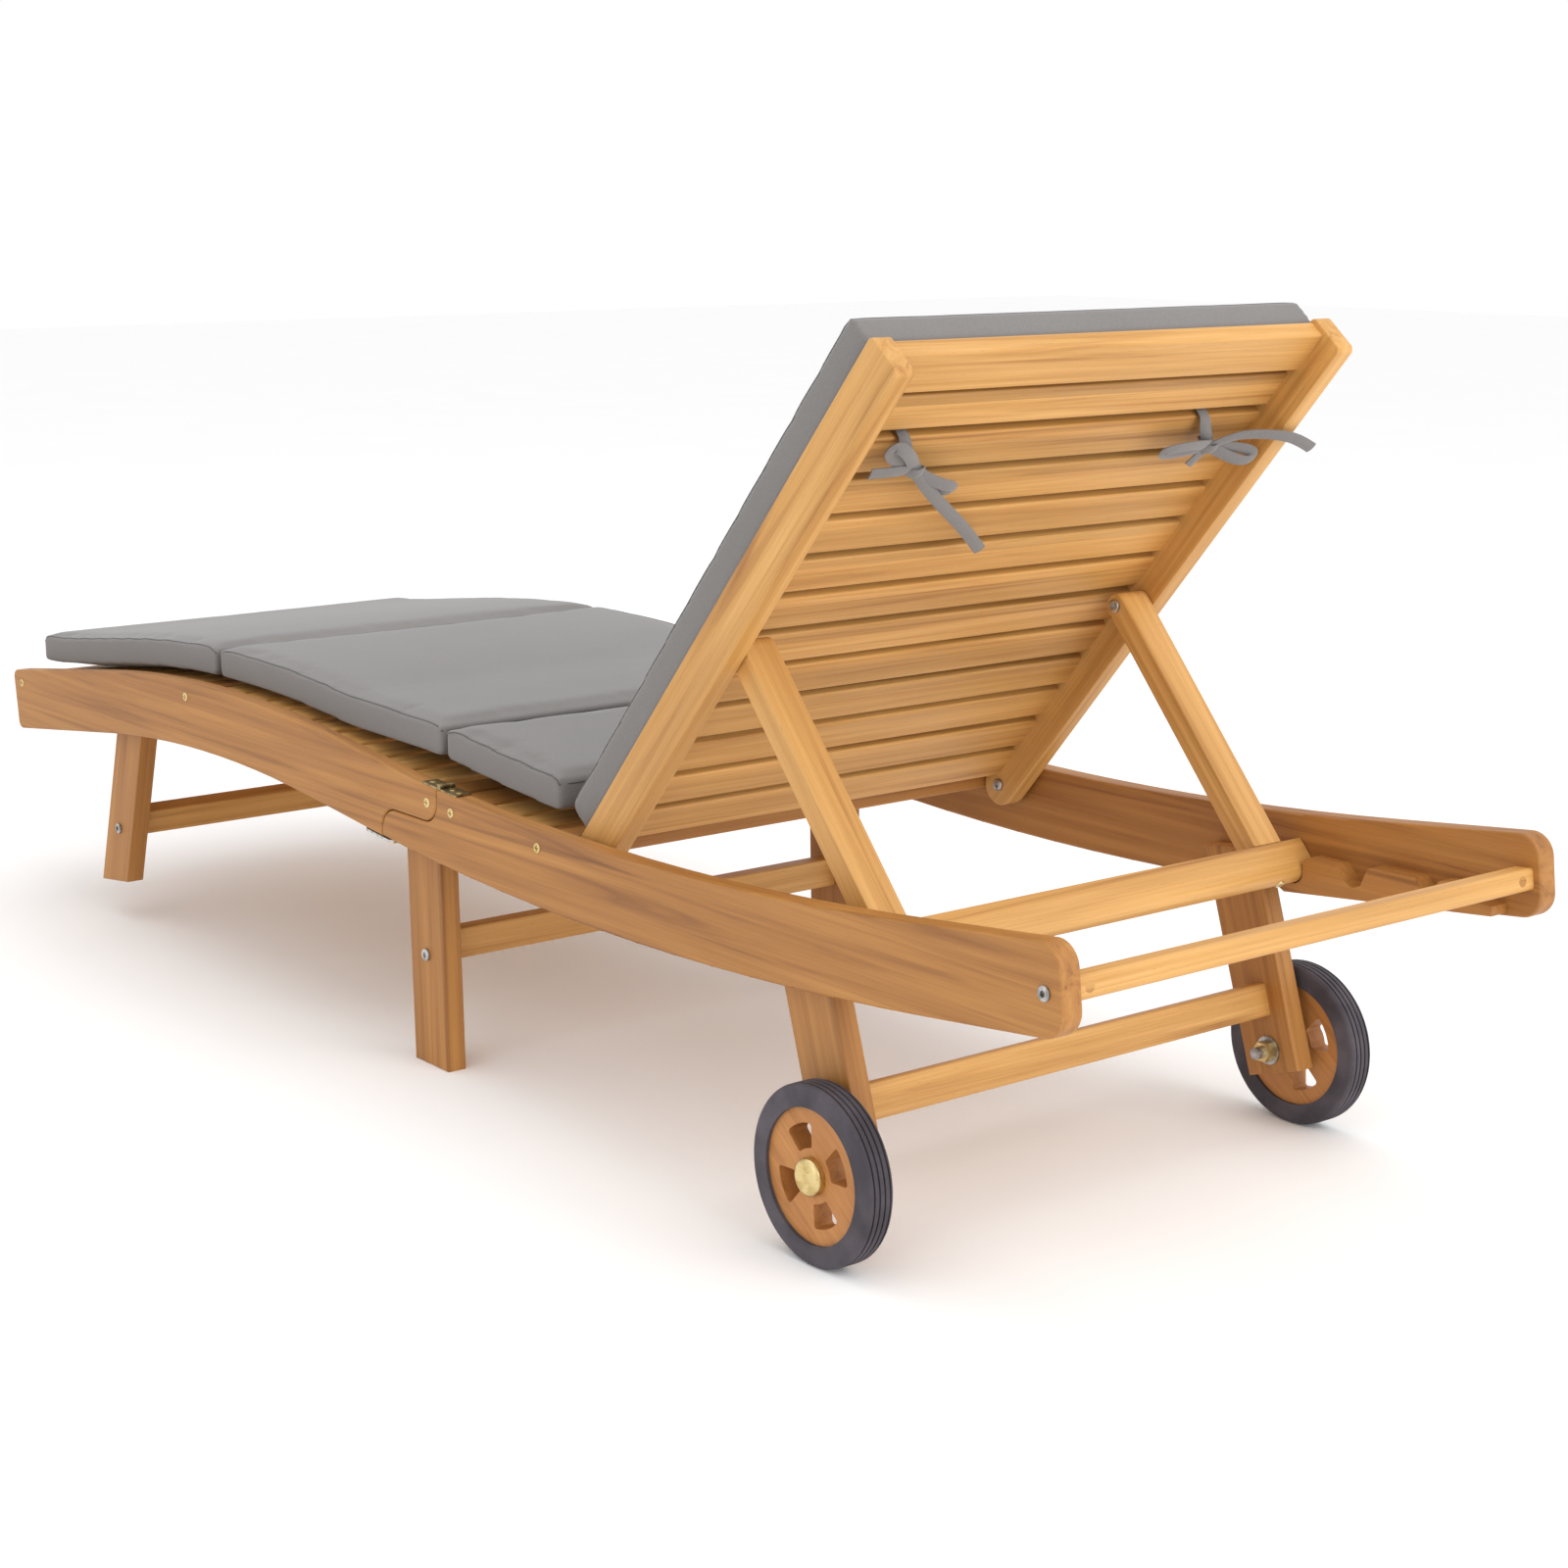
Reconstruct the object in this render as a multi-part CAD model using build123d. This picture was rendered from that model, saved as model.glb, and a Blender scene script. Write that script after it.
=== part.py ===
from build123d import *

import os
from math import asin, cos, degrees, radians, sin, sqrt, tan

# Reclining sun lounger in timber: a foot frame that folds up on hinges, a seat frame on wheels,
# a slatted backrest held by a swinging prop frame in notched cleats, and a four-part cushion.
#
# Axes: +X across the lounger, +Y towards the foot end, +Z up, origin on the ground under the middle.
# Side outlines are drawn in (reach, height): reach runs from the middle towards the head end (-Y).

# ---------------------------------------------------------------- driving dimensions (mm, degrees)
LENGTH = 1950.0               # over the rail ends
WIDTH = 600.0                 # over the rails
RAIL_DEPTH = 76.0
RAIL_THICK = 22.0
FOOT_ANGLE = 7.3              # slope of the straight run at the foot end
SEAT_ANGLE = -5.4             # slope from the knee down to the seat
HEAD_ANGLE = 6.45             # slope up to the head end
KNEE_CORNER = (-445.3, 316.3)  # where the first two straight runs of the rail's centre line would meet
KNEE_RADIUS = 2310.0
SEAT_CORNER = (380.8, 237.8)
SEAT_RADIUS = 4180.0
FOOT_CORNER_ROUND = 10.0
HEAD_CORNER_ROUND = 22.0

FOLD_REACH = 76.0             # hinge line of the fold
FOLD_LAP = 112.0              # the head rail's tongue reaches this far back under the foot rail
FOLD_CURVE = 25.0             # radius of both bends in the fold joint
FOLD_KERF = 0.8

LEG_WIDTH = 65.0
LEG_THICK = 22.0
FRONT_LEG_REACH = -762.5      # middle of the leg at the ground
FRONT_LEG_LEAN = 17.85        # from upright, positive towards the head end at the top
MID_LEG_REACH = 14.0
MID_LEG_LEAN = -1.5
REAR_LEG_LEAN = -17.6
REAR_LEG_BELOW_AXLE = 23.0
STRETCHER_HEIGHT = 127.0      # middle of each stretcher above the ground
STRETCHER_TALL = 32.0
STRETCHER_THICK = 23.0

AXLE_REACH = 688.0
WHEEL_RADIUS = 80.0
WHEEL_WIDTH = 27.0
HUB_RADIUS = 60.0
HUB_THICK = 20.0
HUB_BOSS_RADIUS = 24.0
HUB_WINDOW_RADIUS = 46.0
HUB_WINDOW_HALF_ANGLE = 22.0
HUB_WINDOW_TURN = 25.0
AXLE_RADIUS = 6.0
WHEEL_TO_LEG = 8.0            # gap from the leg's outer face to the tyre

SLAT_WIDTH = 44.0
SLAT_THICK = 12.0
SLAT_PITCH = 53.0
SLAT_DROP = 6.0               # slat tops below the rail's top edge
LEDGER_DEPTH = 18.0
LEDGER_THICK = 18.0
CROSSBAR_DEPTH = 22.0
FOOT_BAR_SETBACK = 22.0       # foot end of the rails to the middle of the first crossbar
KNEE_BAR_REACH = -479.0       # crossbar between the foot and knee sections
SEAT_BAR_REACH = 257.0        # last crossbar before the backrest
FOLD_BAR_SETBACK = 20.0       # hinge line to the middle of the foot frame's last crossbar
FOLD_BAR_WIDTH = 34.0
FOLD_BAR_GAP = 3.0            # hinge line to the seat frame's first crossbar
HANDLE_WIDTH = 22.0
HANDLE_DEPTH = 20.0
HANDLE_SETBACK = 18.0         # rail end to the middle of the handle bar

PIVOT_REACH = 303.0           # backrest hinge line
PIVOT_HEIGHT = 278.0
BACK_ANGLE = 49.0             # steepest position, from level
STILE_DEPTH = 44.0
STILE_THICK = 20.0
STILE_TO_RAIL = 6.5
STILE_LENGTH = 648.0          # from the hinge line
TOP_RAIL_WIDTH = 44.0
TOP_RAIL_THICK = 18.0
STILE_HORN = 5.0              # the stiles run past the top rail
BACK_SLAT_COUNT = 12
BACK_SLAT_WIDTH = 40.0
BACK_SLAT_START = 6.0         # from the hinge line to the first slat
BACK_SLAT_RECESS = 2.0

PROP_ALONG = 298.0            # prop hinge line, measured up the stile from the backrest hinge
PROP_BEHIND = 10.6            # and behind the stile's centre line
PROP_ANGLE = 49.3             # the struts' slope at rest
STRUT_LENGTH = 281.0          # prop hinge to the bar's upper edge
STRUT_WIDE = 36.0
STRUT_THICK = 24.0
BAR_DEPTH = 38.0
WASHER_THICK = 1.5

CLEAT_THICK = 21.0
CLEAT_START = 686.0
CLEAT_LENGTH = 253.0
NOTCH_ROUND = 5.0

CUSHION_THICK = 43.0
BACK_CUSHION_THICK = 37.0
CUSHION_HALF_WIDTH = 268.0
CUSHION_KNEE_REACH = -463.0   # seam between the foot and knee sections
CUSHION_SEAT_REACH = 34.0       # seam between the knee and seat sections
CUSHION_SEAM = 4.0
CUSHION_STEP = 60.0           # spacing of the points that shape a section from the side
CUSHION_LIFTS = (              # (reach, lift above the slats)
    (-LENGTH / 2 - 25.0, 6.0), (-LENGTH / 2 + 95.0, 0.0), (-170.0, 0.0), (34.0, 15.0), (260.0, 5.0),
)
CUSHION_SIDE_ROUND = 9.0

# ---------------------------------------------------------------- fits and small clearances
RUNNING = 0.05                # radial, pins and bolts that turn in their holes
SOFT_GAP = 0.3                # between a cushion and what it lies on
END_GAP = 0.6                 # slat ends to the rails
PART_GAP = 1.0                # between neighbouring frame pieces that do not touch
TIMBER_ROUND = 2.5            # softened long edges
RAIL_EDGE_ROUND = 2.5
BOARD_EDGE_ROUND = 1.5
CLEAT_GAP = 0.5               # ends of the prop bar to the cleats

# ---------------------------------------------------------------- hardware
SCREW_RADIUS = 2.5
SCREW_HEAD_RADIUS = 5.0
SCREW_HEAD_THICK = 2.2
BOLT_RADIUS = 3.5
BOLT_HEAD_RADIUS = 6.5
BOLT_HEAD_THICK = 3.5
PIN_RADIUS = 1.5
KNUCKLE_RADIUS = 3.0
LEAF_THICK = 2.0
LEAF_LENGTH = 33.0
LEAF_WIDTH = 18.0
KNUCKLE_LIFT = 0.3            # knuckles clear of the rail's top edge

# ---------------------------------------------------------------- places that follow from the sizes
def centre_line_end(angle, corner_round):
    """Reach of a sloping rail's centre line where its rounded corner touches the overall length."""
    lean = (RAIL_DEPTH / 2 - corner_round) * abs(sin(radians(angle)))
    return LENGTH / 2 - lean - corner_round * (1 - cos(radians(angle)))


RAIL_OUT = WIDTH / 2
RAIL_IN = RAIL_OUT - RAIL_THICK
HALF_DEPTH = RAIL_DEPTH / 2
FOOT_END = -centre_line_end(FOOT_ANGLE, FOOT_CORNER_ROUND)
HEAD_END = centre_line_end(HEAD_ANGLE, HEAD_CORNER_ROUND)
LEG_IN = RAIL_IN - LEG_THICK
STILE_OUT = RAIL_IN - STILE_TO_RAIL
STILE_IN = STILE_OUT - STILE_THICK
STRUT_OUT = STILE_IN - WASHER_THICK
STRUT_IN = STRUT_OUT - STRUT_WIDE
CLEAT_IN = RAIL_IN - CLEAT_THICK
BAR_END = CLEAT_IN - CLEAT_GAP
WHEEL_IN = RAIL_IN + WHEEL_TO_LEG
WHEEL_MID = WHEEL_IN + WHEEL_WIDTH / 2
SLAT_TOP = HALF_DEPTH - SLAT_DROP
SLAT_UNDER = SLAT_TOP - SLAT_THICK
LEDGER_UNDER = SLAT_UNDER - LEDGER_DEPTH
CUSHION_UNDER = SLAT_TOP + SOFT_GAP
HANDLE_REACH = HEAD_END - HANDLE_SETBACK


def up_from(angle):
    """Unit normal of a line that slopes at this angle, pointing up."""
    return Vector(-sin(radians(angle)), cos(radians(angle)))


def run_from(angle):
    """Unit direction of a line that slopes at this angle, towards the head end."""
    return Vector(cos(radians(angle)), sin(radians(angle)))


BENDS = (
    (Vector(*KNEE_CORNER), FOOT_ANGLE, SEAT_ANGLE, KNEE_RADIUS),
    (Vector(*SEAT_CORNER), SEAT_ANGLE, HEAD_ANGLE, SEAT_RADIUS),
)


def bend_corner(bend, offset):
    """Corner of the unrounded outline, offset upwards from the centre line."""
    corner, before, after, radius = bend
    return corner + up_from((before + after) / 2) * (offset / cos(radians(after - before) / 2))


def bend_side(bend):
    """1 where the bend's centre lies above the rail, -1 where it lies below."""
    return 1 if bend[2] > bend[1] else -1


def rail_line(reach, offset=0.0):
    """Height and slope of the rail's side curve, offset upwards from its centre line."""
    last = BENDS[-1]
    for bend in BENDS:
        corner, before, after, radius = bend
        side = bend_side(bend)
        centre = bend_corner(bend, side * radius)
        arc_radius = radius - side * offset
        start = centre.X - side * arc_radius * up_from(before).X
        end = centre.X - side * arc_radius * up_from(after).X
        if reach < start:
            through = bend_corner(bend, offset)
            return through.Y + (reach - through.X) * tan(radians(before)), before
        if reach <= end:
            across = reach - centre.X
            height = centre.Y - side * sqrt(arc_radius**2 - across**2)
            return height, degrees(asin(side * across / arc_radius))
    through = bend_corner(last, offset)
    return through.Y + (reach - through.X) * tan(radians(last[2])), last[2]


def rail_band(low, high, start, end):
    """Strip that follows the rail's curve between two offsets, its ends square to the curve."""
    edges = []
    for offset in (high, low):
        first = bend_corner(BENDS[0], 0)
        final = bend_corner(BENDS[1], 0)
        head = final + run_from(HEAD_ANGLE) * ((end - final.X) / cos(radians(HEAD_ANGLE)))
        foot = first + run_from(FOOT_ANGLE) * ((start - first.X) / cos(radians(FOOT_ANGLE)))
        points = [foot + up_from(FOOT_ANGLE) * offset]
        points += [bend_corner(bend, offset) for bend in BENDS]
        points += [head + up_from(HEAD_ANGLE) * offset]
        radii = [bend[3] - bend_side(bend) * offset for bend in BENDS]
        edges.append(FilletPolyline(*points, radius=radii))
    top, bottom = edges
    return make_face([*top.edges(), *bottom.edges(), Line(top @ 0, bottom @ 0), Line(top @ 1, bottom @ 1)])


def upright_strip(start, end):
    """Everything between two reaches, as a trimming outline."""
    return Pos((start + end) / 2, 0) * Rectangle(end - start, 6 * LENGTH)


def band_piece(low, high, start, end):
    """Strip along the rail's curve, cut upright at both ends."""
    return rail_band(low, high, FOOT_END * 1.5, HEAD_END * 1.5) & upright_strip(start, end)


def on_rail(reach, offset):
    """Location on the rail's curve, turned to its slope."""
    height, slope = rail_line(reach, offset)
    return Pos(reach, height) * Rot(0, 0, slope)


def slab(outline, x_from, x_to):
    """Side outline given thickness between two widths."""
    x_high = max(x_from, x_to)
    plane = Plane(origin=(x_high, 0, 0), x_dir=(0, -1, 0), z_dir=(-1, 0, 0))
    return extrude(plane * outline, amount=abs(x_to - x_from), dir=(-1, 0, 0))


def rounded(outline, radius):
    """Outline with every corner rounded."""
    return fillet(outline.vertices(), radius)


def round_near(outline, point, radius):
    """Outline with the corner nearest to a point rounded."""
    return fillet(outline.vertices().sort_by_distance(Vector(*point))[0], radius)


def both_sides(solid):
    """A piece for the +X side and its mirror image."""
    return solid, mirror(solid, about=Plane.YZ)


def eased(board, radius):
    """Board cut from a side outline, with the edges of both its broad faces rounded."""
    return fillet(board.faces().filter_by(Axis.X).edges(), radius)


def group(*solids):
    """Separate solids kept together in one node."""
    return Compound(children=[item for solid in solids for item in solid.solids()])


def fastener(length, shank, head, thick, drive, side_thick=0.35):
    """Screw or bolt along Z: the head stands on the origin, the shank runs down from it."""
    body = extrude(Circle(head), amount=thick)
    rim = body.edges().filter_by(GeomType.CIRCLE).sort_by(Axis.Z)[-1]
    body = fillet(rim, thick * side_thick)
    body += Pos(0, 0, -length) * extrude(Circle(shank), amount=length)
    recess = Pos(0, 0, thick) * extrude(drive, amount=-thick * 0.6)
    return body - recess


def cross_drive(size):
    """Cross recess."""
    return Rectangle(size, size * 0.22) + Rectangle(size * 0.22, size)


def set_along(solid, x, reach, height, direction):
    """Fastener moved so that its head points in a direction from a place on the lounger."""
    return Plane(origin=(x, -reach, height), z_dir=direction) * solid


def bored(piece, *others):
    """Piece with room cut for whatever is let into it; crumbs left in screw recesses go."""
    for other in others:
        piece -= other.solids()
    return max(piece.solids(), key=lambda solid: solid.volume)


WOOD_SCREW = fastener(34, SCREW_RADIUS, SCREW_HEAD_RADIUS, SCREW_HEAD_THICK, cross_drive(6.4))
LEG_SCREW = fastener(34, SCREW_RADIUS, SCREW_HEAD_RADIUS, SCREW_HEAD_THICK, cross_drive(6.4))
LEAF_SCREW = fastener(14, 1.6, 3.2, 1.0, cross_drive(4.2))
FRAME_BOLT = fastener(62, BOLT_RADIUS, BOLT_HEAD_RADIUS, BOLT_HEAD_THICK, RegularPolygon(3.0, 6))
HEAD_SINK = 1.2               # wood screw heads let into the timber


# ---------------------------------------------------------------- rails and the fold joint
def head_region():
    """Everything on the head side of the fold joint: a tongue under the hinge line."""
    tongue_top = rail_line(FOLD_REACH - FOLD_LAP / 2, 0)[0] - 2.0
    lip = FOLD_REACH - 2.0
    heel = FOLD_REACH - FOLD_LAP
    far = HEAD_END * 2
    path = FilletPolyline(
        (heel, -LENGTH), (heel, tongue_top), (lip, tongue_top), (lip, LENGTH),
        radius=[FOLD_CURVE, FOLD_CURVE],
    )
    box = Polyline(path @ 1, (far, LENGTH), (far, -LENGTH), path @ 0)
    return make_face([*path.edges(), *box.edges()]), tongue_top


rail_outline = rail_band(-HALF_DEPTH, HALF_DEPTH, FOOT_END, HEAD_END)
for end, angle, corner_round in (
    (FOOT_END, FOOT_ANGLE, FOOT_CORNER_ROUND),
    (HEAD_END, HEAD_ANGLE, HEAD_CORNER_ROUND),
):
    end_height = rail_line(end)[0]
    for offset in (HALF_DEPTH, -HALF_DEPTH):
        tip = Vector(end, end_height) + up_from(angle) * offset
        rail_outline = round_near(rail_outline, (tip.X, tip.Y), corner_round)

head_side, TONGUE_TOP = head_region()
foot_rail_outline = rail_outline - Pos(-FOLD_KERF, FOLD_KERF) * head_side
head_rail_outline = rail_outline & head_side
rail_foot = eased(slab(foot_rail_outline, RAIL_IN, RAIL_OUT), RAIL_EDGE_ROUND)
rail_head = eased(slab(head_rail_outline, RAIL_IN, RAIL_OUT), RAIL_EDGE_ROUND)


# ---------------------------------------------------------------- legs and stretchers
def leg_outline(reach, height, lean, below, above):
    """Leg leaning about a point on its centre line, running below and above that point."""
    return Pos(reach, height) * Rot(0, 0, -lean) * Pos(0, (above - below) / 2) * Rectangle(LEG_WIDTH, above + below)


def leg_centre(reach, height, lean, at_height):
    """Reach of the leg's centre line at some height."""
    return reach + (at_height - height) * tan(radians(lean))


above_ground = Pos(0, LENGTH) * Rectangle(3 * LENGTH, 2 * LENGTH)
under_rail_middle = rail_band(-6 * HALF_DEPTH, 0, FOOT_END * 1.5, HEAD_END * 1.5)
under_tongue = Pos(0, TONGUE_TOP - 6.0 - LENGTH) * Rectangle(3 * LENGTH, 2 * LENGTH)

front_leg_outline = leg_outline(FRONT_LEG_REACH, 0, FRONT_LEG_LEAN, 60, 500) & above_ground & under_rail_middle
mid_leg_outline = leg_outline(MID_LEG_REACH, 0, MID_LEG_LEAN, 60, 500) & above_ground & under_tongue
rear_leg_outline = (
    leg_outline(AXLE_REACH, WHEEL_RADIUS, REAR_LEG_LEAN, REAR_LEG_BELOW_AXLE, 500) & under_rail_middle
)
leg_front = eased(slab(front_leg_outline, LEG_IN, RAIL_IN), BOARD_EDGE_ROUND)
leg_mid = eased(slab(mid_leg_outline, LEG_IN, RAIL_IN), BOARD_EDGE_ROUND)
leg_rear = eased(slab(rear_leg_outline, LEG_IN, RAIL_IN), BOARD_EDGE_ROUND)

LEGS = {
    "front": (FRONT_LEG_REACH, 0.0, FRONT_LEG_LEAN),
    "mid": (MID_LEG_REACH, 0.0, MID_LEG_LEAN),
    "rear": (AXLE_REACH, WHEEL_RADIUS, REAR_LEG_LEAN),
}


def stretcher(leg):
    """Bar between a pair of legs, leaning with them."""
    reach, height, lean = LEGS[leg]
    at = leg_centre(reach, height, lean, STRETCHER_HEIGHT)
    section = rounded(Rectangle(STRETCHER_THICK, STRETCHER_TALL), TIMBER_ROUND)
    return slab(Pos(at, STRETCHER_HEIGHT) * Rot(0, 0, -lean) * section, -LEG_IN, LEG_IN)


def stretcher_bolts(leg, drop=8.0):
    """Bolts through a pair of legs into the ends of their stretcher."""
    reach, height, lean = LEGS[leg]
    bolt_height = STRETCHER_HEIGHT - drop
    at = leg_centre(reach, height, lean, bolt_height)
    return both_sides(set_along(FRAME_BOLT, RAIL_IN, at, bolt_height, (1, 0, 0)))


def leg_screws(leg, drop):
    """Two screws from inside each leg into the rail."""
    reach, height, lean = LEGS[leg]
    centre = leg_centre(reach, height, lean, rail_line(reach)[0])
    screw_height = rail_line(centre, -drop)[0]
    centre = leg_centre(reach, height, lean, screw_height)
    screws = []
    for across in (-LEG_WIDTH / 4, LEG_WIDTH / 4):
        place = set_along(LEG_SCREW, LEG_IN + HEAD_SINK, centre + across, screw_height, (-1, 0, 0))
        screws += both_sides(place)
    return screws


# ---------------------------------------------------------------- crossbars, slats and ledgers
def cross_piece(reach, low, high, width, half_length):
    """Bar across the frame that lies along the rail's slope between two offsets."""
    section = rounded(Rectangle(width, high - low), TIMBER_ROUND)
    return slab(on_rail(reach, (low + high) / 2) * section, -half_length, half_length)


CROSSBAR_UNDER = SLAT_TOP - CROSSBAR_DEPTH
FOOT_BAR_REACH = FOOT_END + FOOT_BAR_SETBACK
FOLD_BAR_FOOT = FOLD_REACH - FOLD_BAR_SETBACK
FOLD_BAR_HEAD = FOLD_REACH + SLAT_WIDTH / 2 + FOLD_BAR_GAP
FOOT_BARS = ((FOOT_BAR_REACH, SLAT_WIDTH), (KNEE_BAR_REACH, SLAT_WIDTH), (FOLD_BAR_FOOT, FOLD_BAR_WIDTH))
SEAT_BARS = ((FOLD_BAR_HEAD, SLAT_WIDTH), (SEAT_BAR_REACH, SLAT_WIDTH))
crossbars_foot = [cross_piece(reach, CROSSBAR_UNDER, SLAT_TOP, width, RAIL_IN) for reach, width in FOOT_BARS]
crossbars_seat = [cross_piece(reach, CROSSBAR_UNDER, SLAT_TOP, width, RAIL_IN) for reach, width in SEAT_BARS]


def slat_reaches(start, end):
    """Middles of evenly spaced slats that fill the space between two crossbars."""
    clear = (end - SLAT_WIDTH / 2) - (start + SLAT_WIDTH / 2)
    count = max(1, round(clear / SLAT_PITCH))
    pitch = (end - start) / (count + 1) if count > 1 else (end - start) / 2
    return [start + pitch * (index + 1) for index in range(count)]


def slat_run(start, end):
    """Slats between two crossbars, resting on the ledgers."""
    return [
        cross_piece(reach, SLAT_UNDER, SLAT_TOP, SLAT_WIDTH, RAIL_IN - END_GAP)
        for reach in slat_reaches(start, end)
    ]


def ledger(start, end, slats):
    """Batten on the rail's inner face that carries the slats between two crossbars."""
    inset = SLAT_WIDTH / 2 + PART_GAP
    outline = band_piece(LEDGER_UNDER, SLAT_UNDER, start + inset, end - inset)
    return bored(slab(outline, RAIL_IN - LEDGER_THICK, RAIL_IN), *slats)


slats_lower = slat_run(FOOT_BAR_REACH, KNEE_BAR_REACH)
slats_knee = slat_run(KNEE_BAR_REACH, FOLD_BAR_FOOT)
slats_seat = slat_run(FOLD_BAR_HEAD, SEAT_BAR_REACH)
ledger_foot = group(
    ledger(FOOT_BAR_REACH, KNEE_BAR_REACH, slats_lower), ledger(KNEE_BAR_REACH, FOLD_BAR_FOOT, slats_knee)
)
ledger_seat = ledger(FOLD_BAR_HEAD, SEAT_BAR_REACH, slats_seat)

# ---------------------------------------------------------------- handle bar
handle_height, handle_slope = rail_line(HANDLE_REACH, -2.0)
handle_section = rounded(Rectangle(HANDLE_WIDTH, HANDLE_DEPTH), 4.0)
handle_bar = slab(Pos(HANDLE_REACH, handle_height) * Rot(0, 0, handle_slope) * handle_section, -RAIL_IN, RAIL_IN)
handle_bolts = both_sides(set_along(FRAME_BOLT, RAIL_OUT - HEAD_SINK, HANDLE_REACH, handle_height, (1, 0, 0)))

# ---------------------------------------------------------------- backrest
# Backrest outlines are drawn along the stile: (along, front), from the hinge line up the stile,
# with front positive on the cushion's side.
STILE_HALF = STILE_DEPTH / 2
BACK_SLAT_FRONT = STILE_HALF - BACK_SLAT_RECESS
BACK_SLAT_REAR = BACK_SLAT_FRONT - SLAT_THICK
top_rail_end = STILE_LENGTH - STILE_HORN
top_rail_start = top_rail_end - TOP_RAIL_WIDTH
back_place = Pos(PIVOT_REACH, PIVOT_HEIGHT) * Rot(0, 0, BACK_ANGLE)


def back_slab(outline, x_from, x_to):
    """Outline on the backrest given thickness between two widths."""
    return slab(back_place * outline, x_from, x_to)


def block(along_from, along_to, front_from, front_to):
    """Upright rectangle between two pairs of edges."""
    middle = Pos((along_from + along_to) / 2, (front_from + front_to) / 2)
    return middle * Rectangle(along_to - along_from, front_to - front_from)


stile_outline = block(0, STILE_LENGTH, -STILE_HALF, STILE_HALF) + Circle(STILE_HALF)
for front in (-STILE_HALF, STILE_HALF):
    stile_outline = round_near(stile_outline, (STILE_LENGTH, front), 6.0)
stile = eased(back_slab(stile_outline, STILE_IN, STILE_OUT), BOARD_EDGE_ROUND)
top_rail_section = rounded(block(top_rail_start, top_rail_end, BACK_SLAT_FRONT - TOP_RAIL_THICK, BACK_SLAT_FRONT),
                           TIMBER_ROUND)
top_rail = back_slab(top_rail_section, -STILE_IN, STILE_IN)

back_slat_gap = (top_rail_start - BACK_SLAT_START) / BACK_SLAT_COUNT - BACK_SLAT_WIDTH
back_slat_section = rounded(Rectangle(BACK_SLAT_WIDTH, SLAT_THICK), TIMBER_ROUND)
slats_back = []
for index in range(BACK_SLAT_COUNT):
    along = BACK_SLAT_START + BACK_SLAT_WIDTH / 2 + index * (BACK_SLAT_WIDTH + back_slat_gap)
    slats_back.append(back_slab(Pos(along, (BACK_SLAT_FRONT + BACK_SLAT_REAR) / 2) * back_slat_section,
                                -STILE_IN, STILE_IN))

# Hinge bolts: the head lies on the stile's inner face, the shank ends inside the rail.
BLIND_DEPTH = 15.0
back_pivot_length = RAIL_IN + BLIND_DEPTH - STILE_IN + RUNNING
BACK_BOLT = fastener(back_pivot_length, BOLT_RADIUS, BOLT_HEAD_RADIUS, BOLT_HEAD_THICK, RegularPolygon(3.0, 6))
back_pivot_bolt = set_along(BACK_BOLT, STILE_IN - RUNNING, PIVOT_REACH, PIVOT_HEIGHT, (-1, 0, 0))
washer_ring = Circle(8.0) - Circle(BOLT_RADIUS)
back_pivot_washer = slab(Pos(PIVOT_REACH, PIVOT_HEIGHT) * washer_ring, STILE_OUT + RUNNING, RAIL_IN)
stile -= slab(Pos(PIVOT_REACH, PIVOT_HEIGHT) * Circle(BOLT_RADIUS + RUNNING), STILE_IN, STILE_OUT)

# ---------------------------------------------------------------- prop frame
prop_local = back_place * Pos(PROP_ALONG, -PROP_BEHIND)
prop_reach = prop_local.position.X
prop_height = prop_local.position.Y
prop_place = Pos(prop_reach, prop_height) * Rot(0, 0, -PROP_ANGLE)
STRUT_HALF = STRUT_THICK / 2
bar_nose = STRUT_LENGTH + BAR_DEPTH - STRUT_HALF    # centre of the bar's rounded edge

strut_outline = block(0, STRUT_LENGTH, -STRUT_HALF, STRUT_HALF) + Circle(STRUT_HALF)
strut = eased(slab(prop_place * strut_outline, STRUT_IN, STRUT_OUT), BOARD_EDGE_ROUND)
bar_outline = block(STRUT_LENGTH, bar_nose, -STRUT_HALF, STRUT_HALF) + Pos(bar_nose, 0) * Circle(STRUT_HALF)
prop_bar = slab(prop_place * bar_outline, -BAR_END, BAR_END)

PROP_BOLT = fastener(STRUT_WIDE + WASHER_THICK + BLIND_DEPTH, BOLT_RADIUS, BOLT_HEAD_RADIUS, BOLT_HEAD_THICK,
                     RegularPolygon(3.0, 6))
prop_bolt = set_along(PROP_BOLT, STRUT_IN - RUNNING, prop_reach, prop_height, (-1, 0, 0))
prop_washer = slab(Pos(prop_reach, prop_height) * washer_ring, STRUT_OUT + RUNNING, STILE_IN)
strut -= slab(Pos(prop_reach, prop_height) * Circle(BOLT_RADIUS + RUNNING), STRUT_IN, STRUT_OUT)

# Screws through the bar's rounded edge into the struts.
BAR_SCREW = fastener(70, SCREW_RADIUS, SCREW_HEAD_RADIUS, SCREW_HEAD_THICK, cross_drive(6.4))
nose_tip = prop_place * Pos(bar_nose + STRUT_HALF - HEAD_SINK, 0)
nose_run = run_from(-PROP_ANGLE)
bar_screw = set_along(BAR_SCREW, (STRUT_IN + STRUT_OUT) / 2, nose_tip.position.X, nose_tip.position.Y,
                      (0, -nose_run.X, nose_run.Y))

# ---------------------------------------------------------------- notched cleats
nose_centre = prop_place * Pos(bar_nose, 0)
NOTCH_WALL = nose_centre.position.X + STRUT_HALF + 1.5
NOTCH_FLOOR = nose_centre.position.Y - STRUT_HALF - 0.6
CLEAT_END = CLEAT_START + CLEAT_LENGTH
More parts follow.
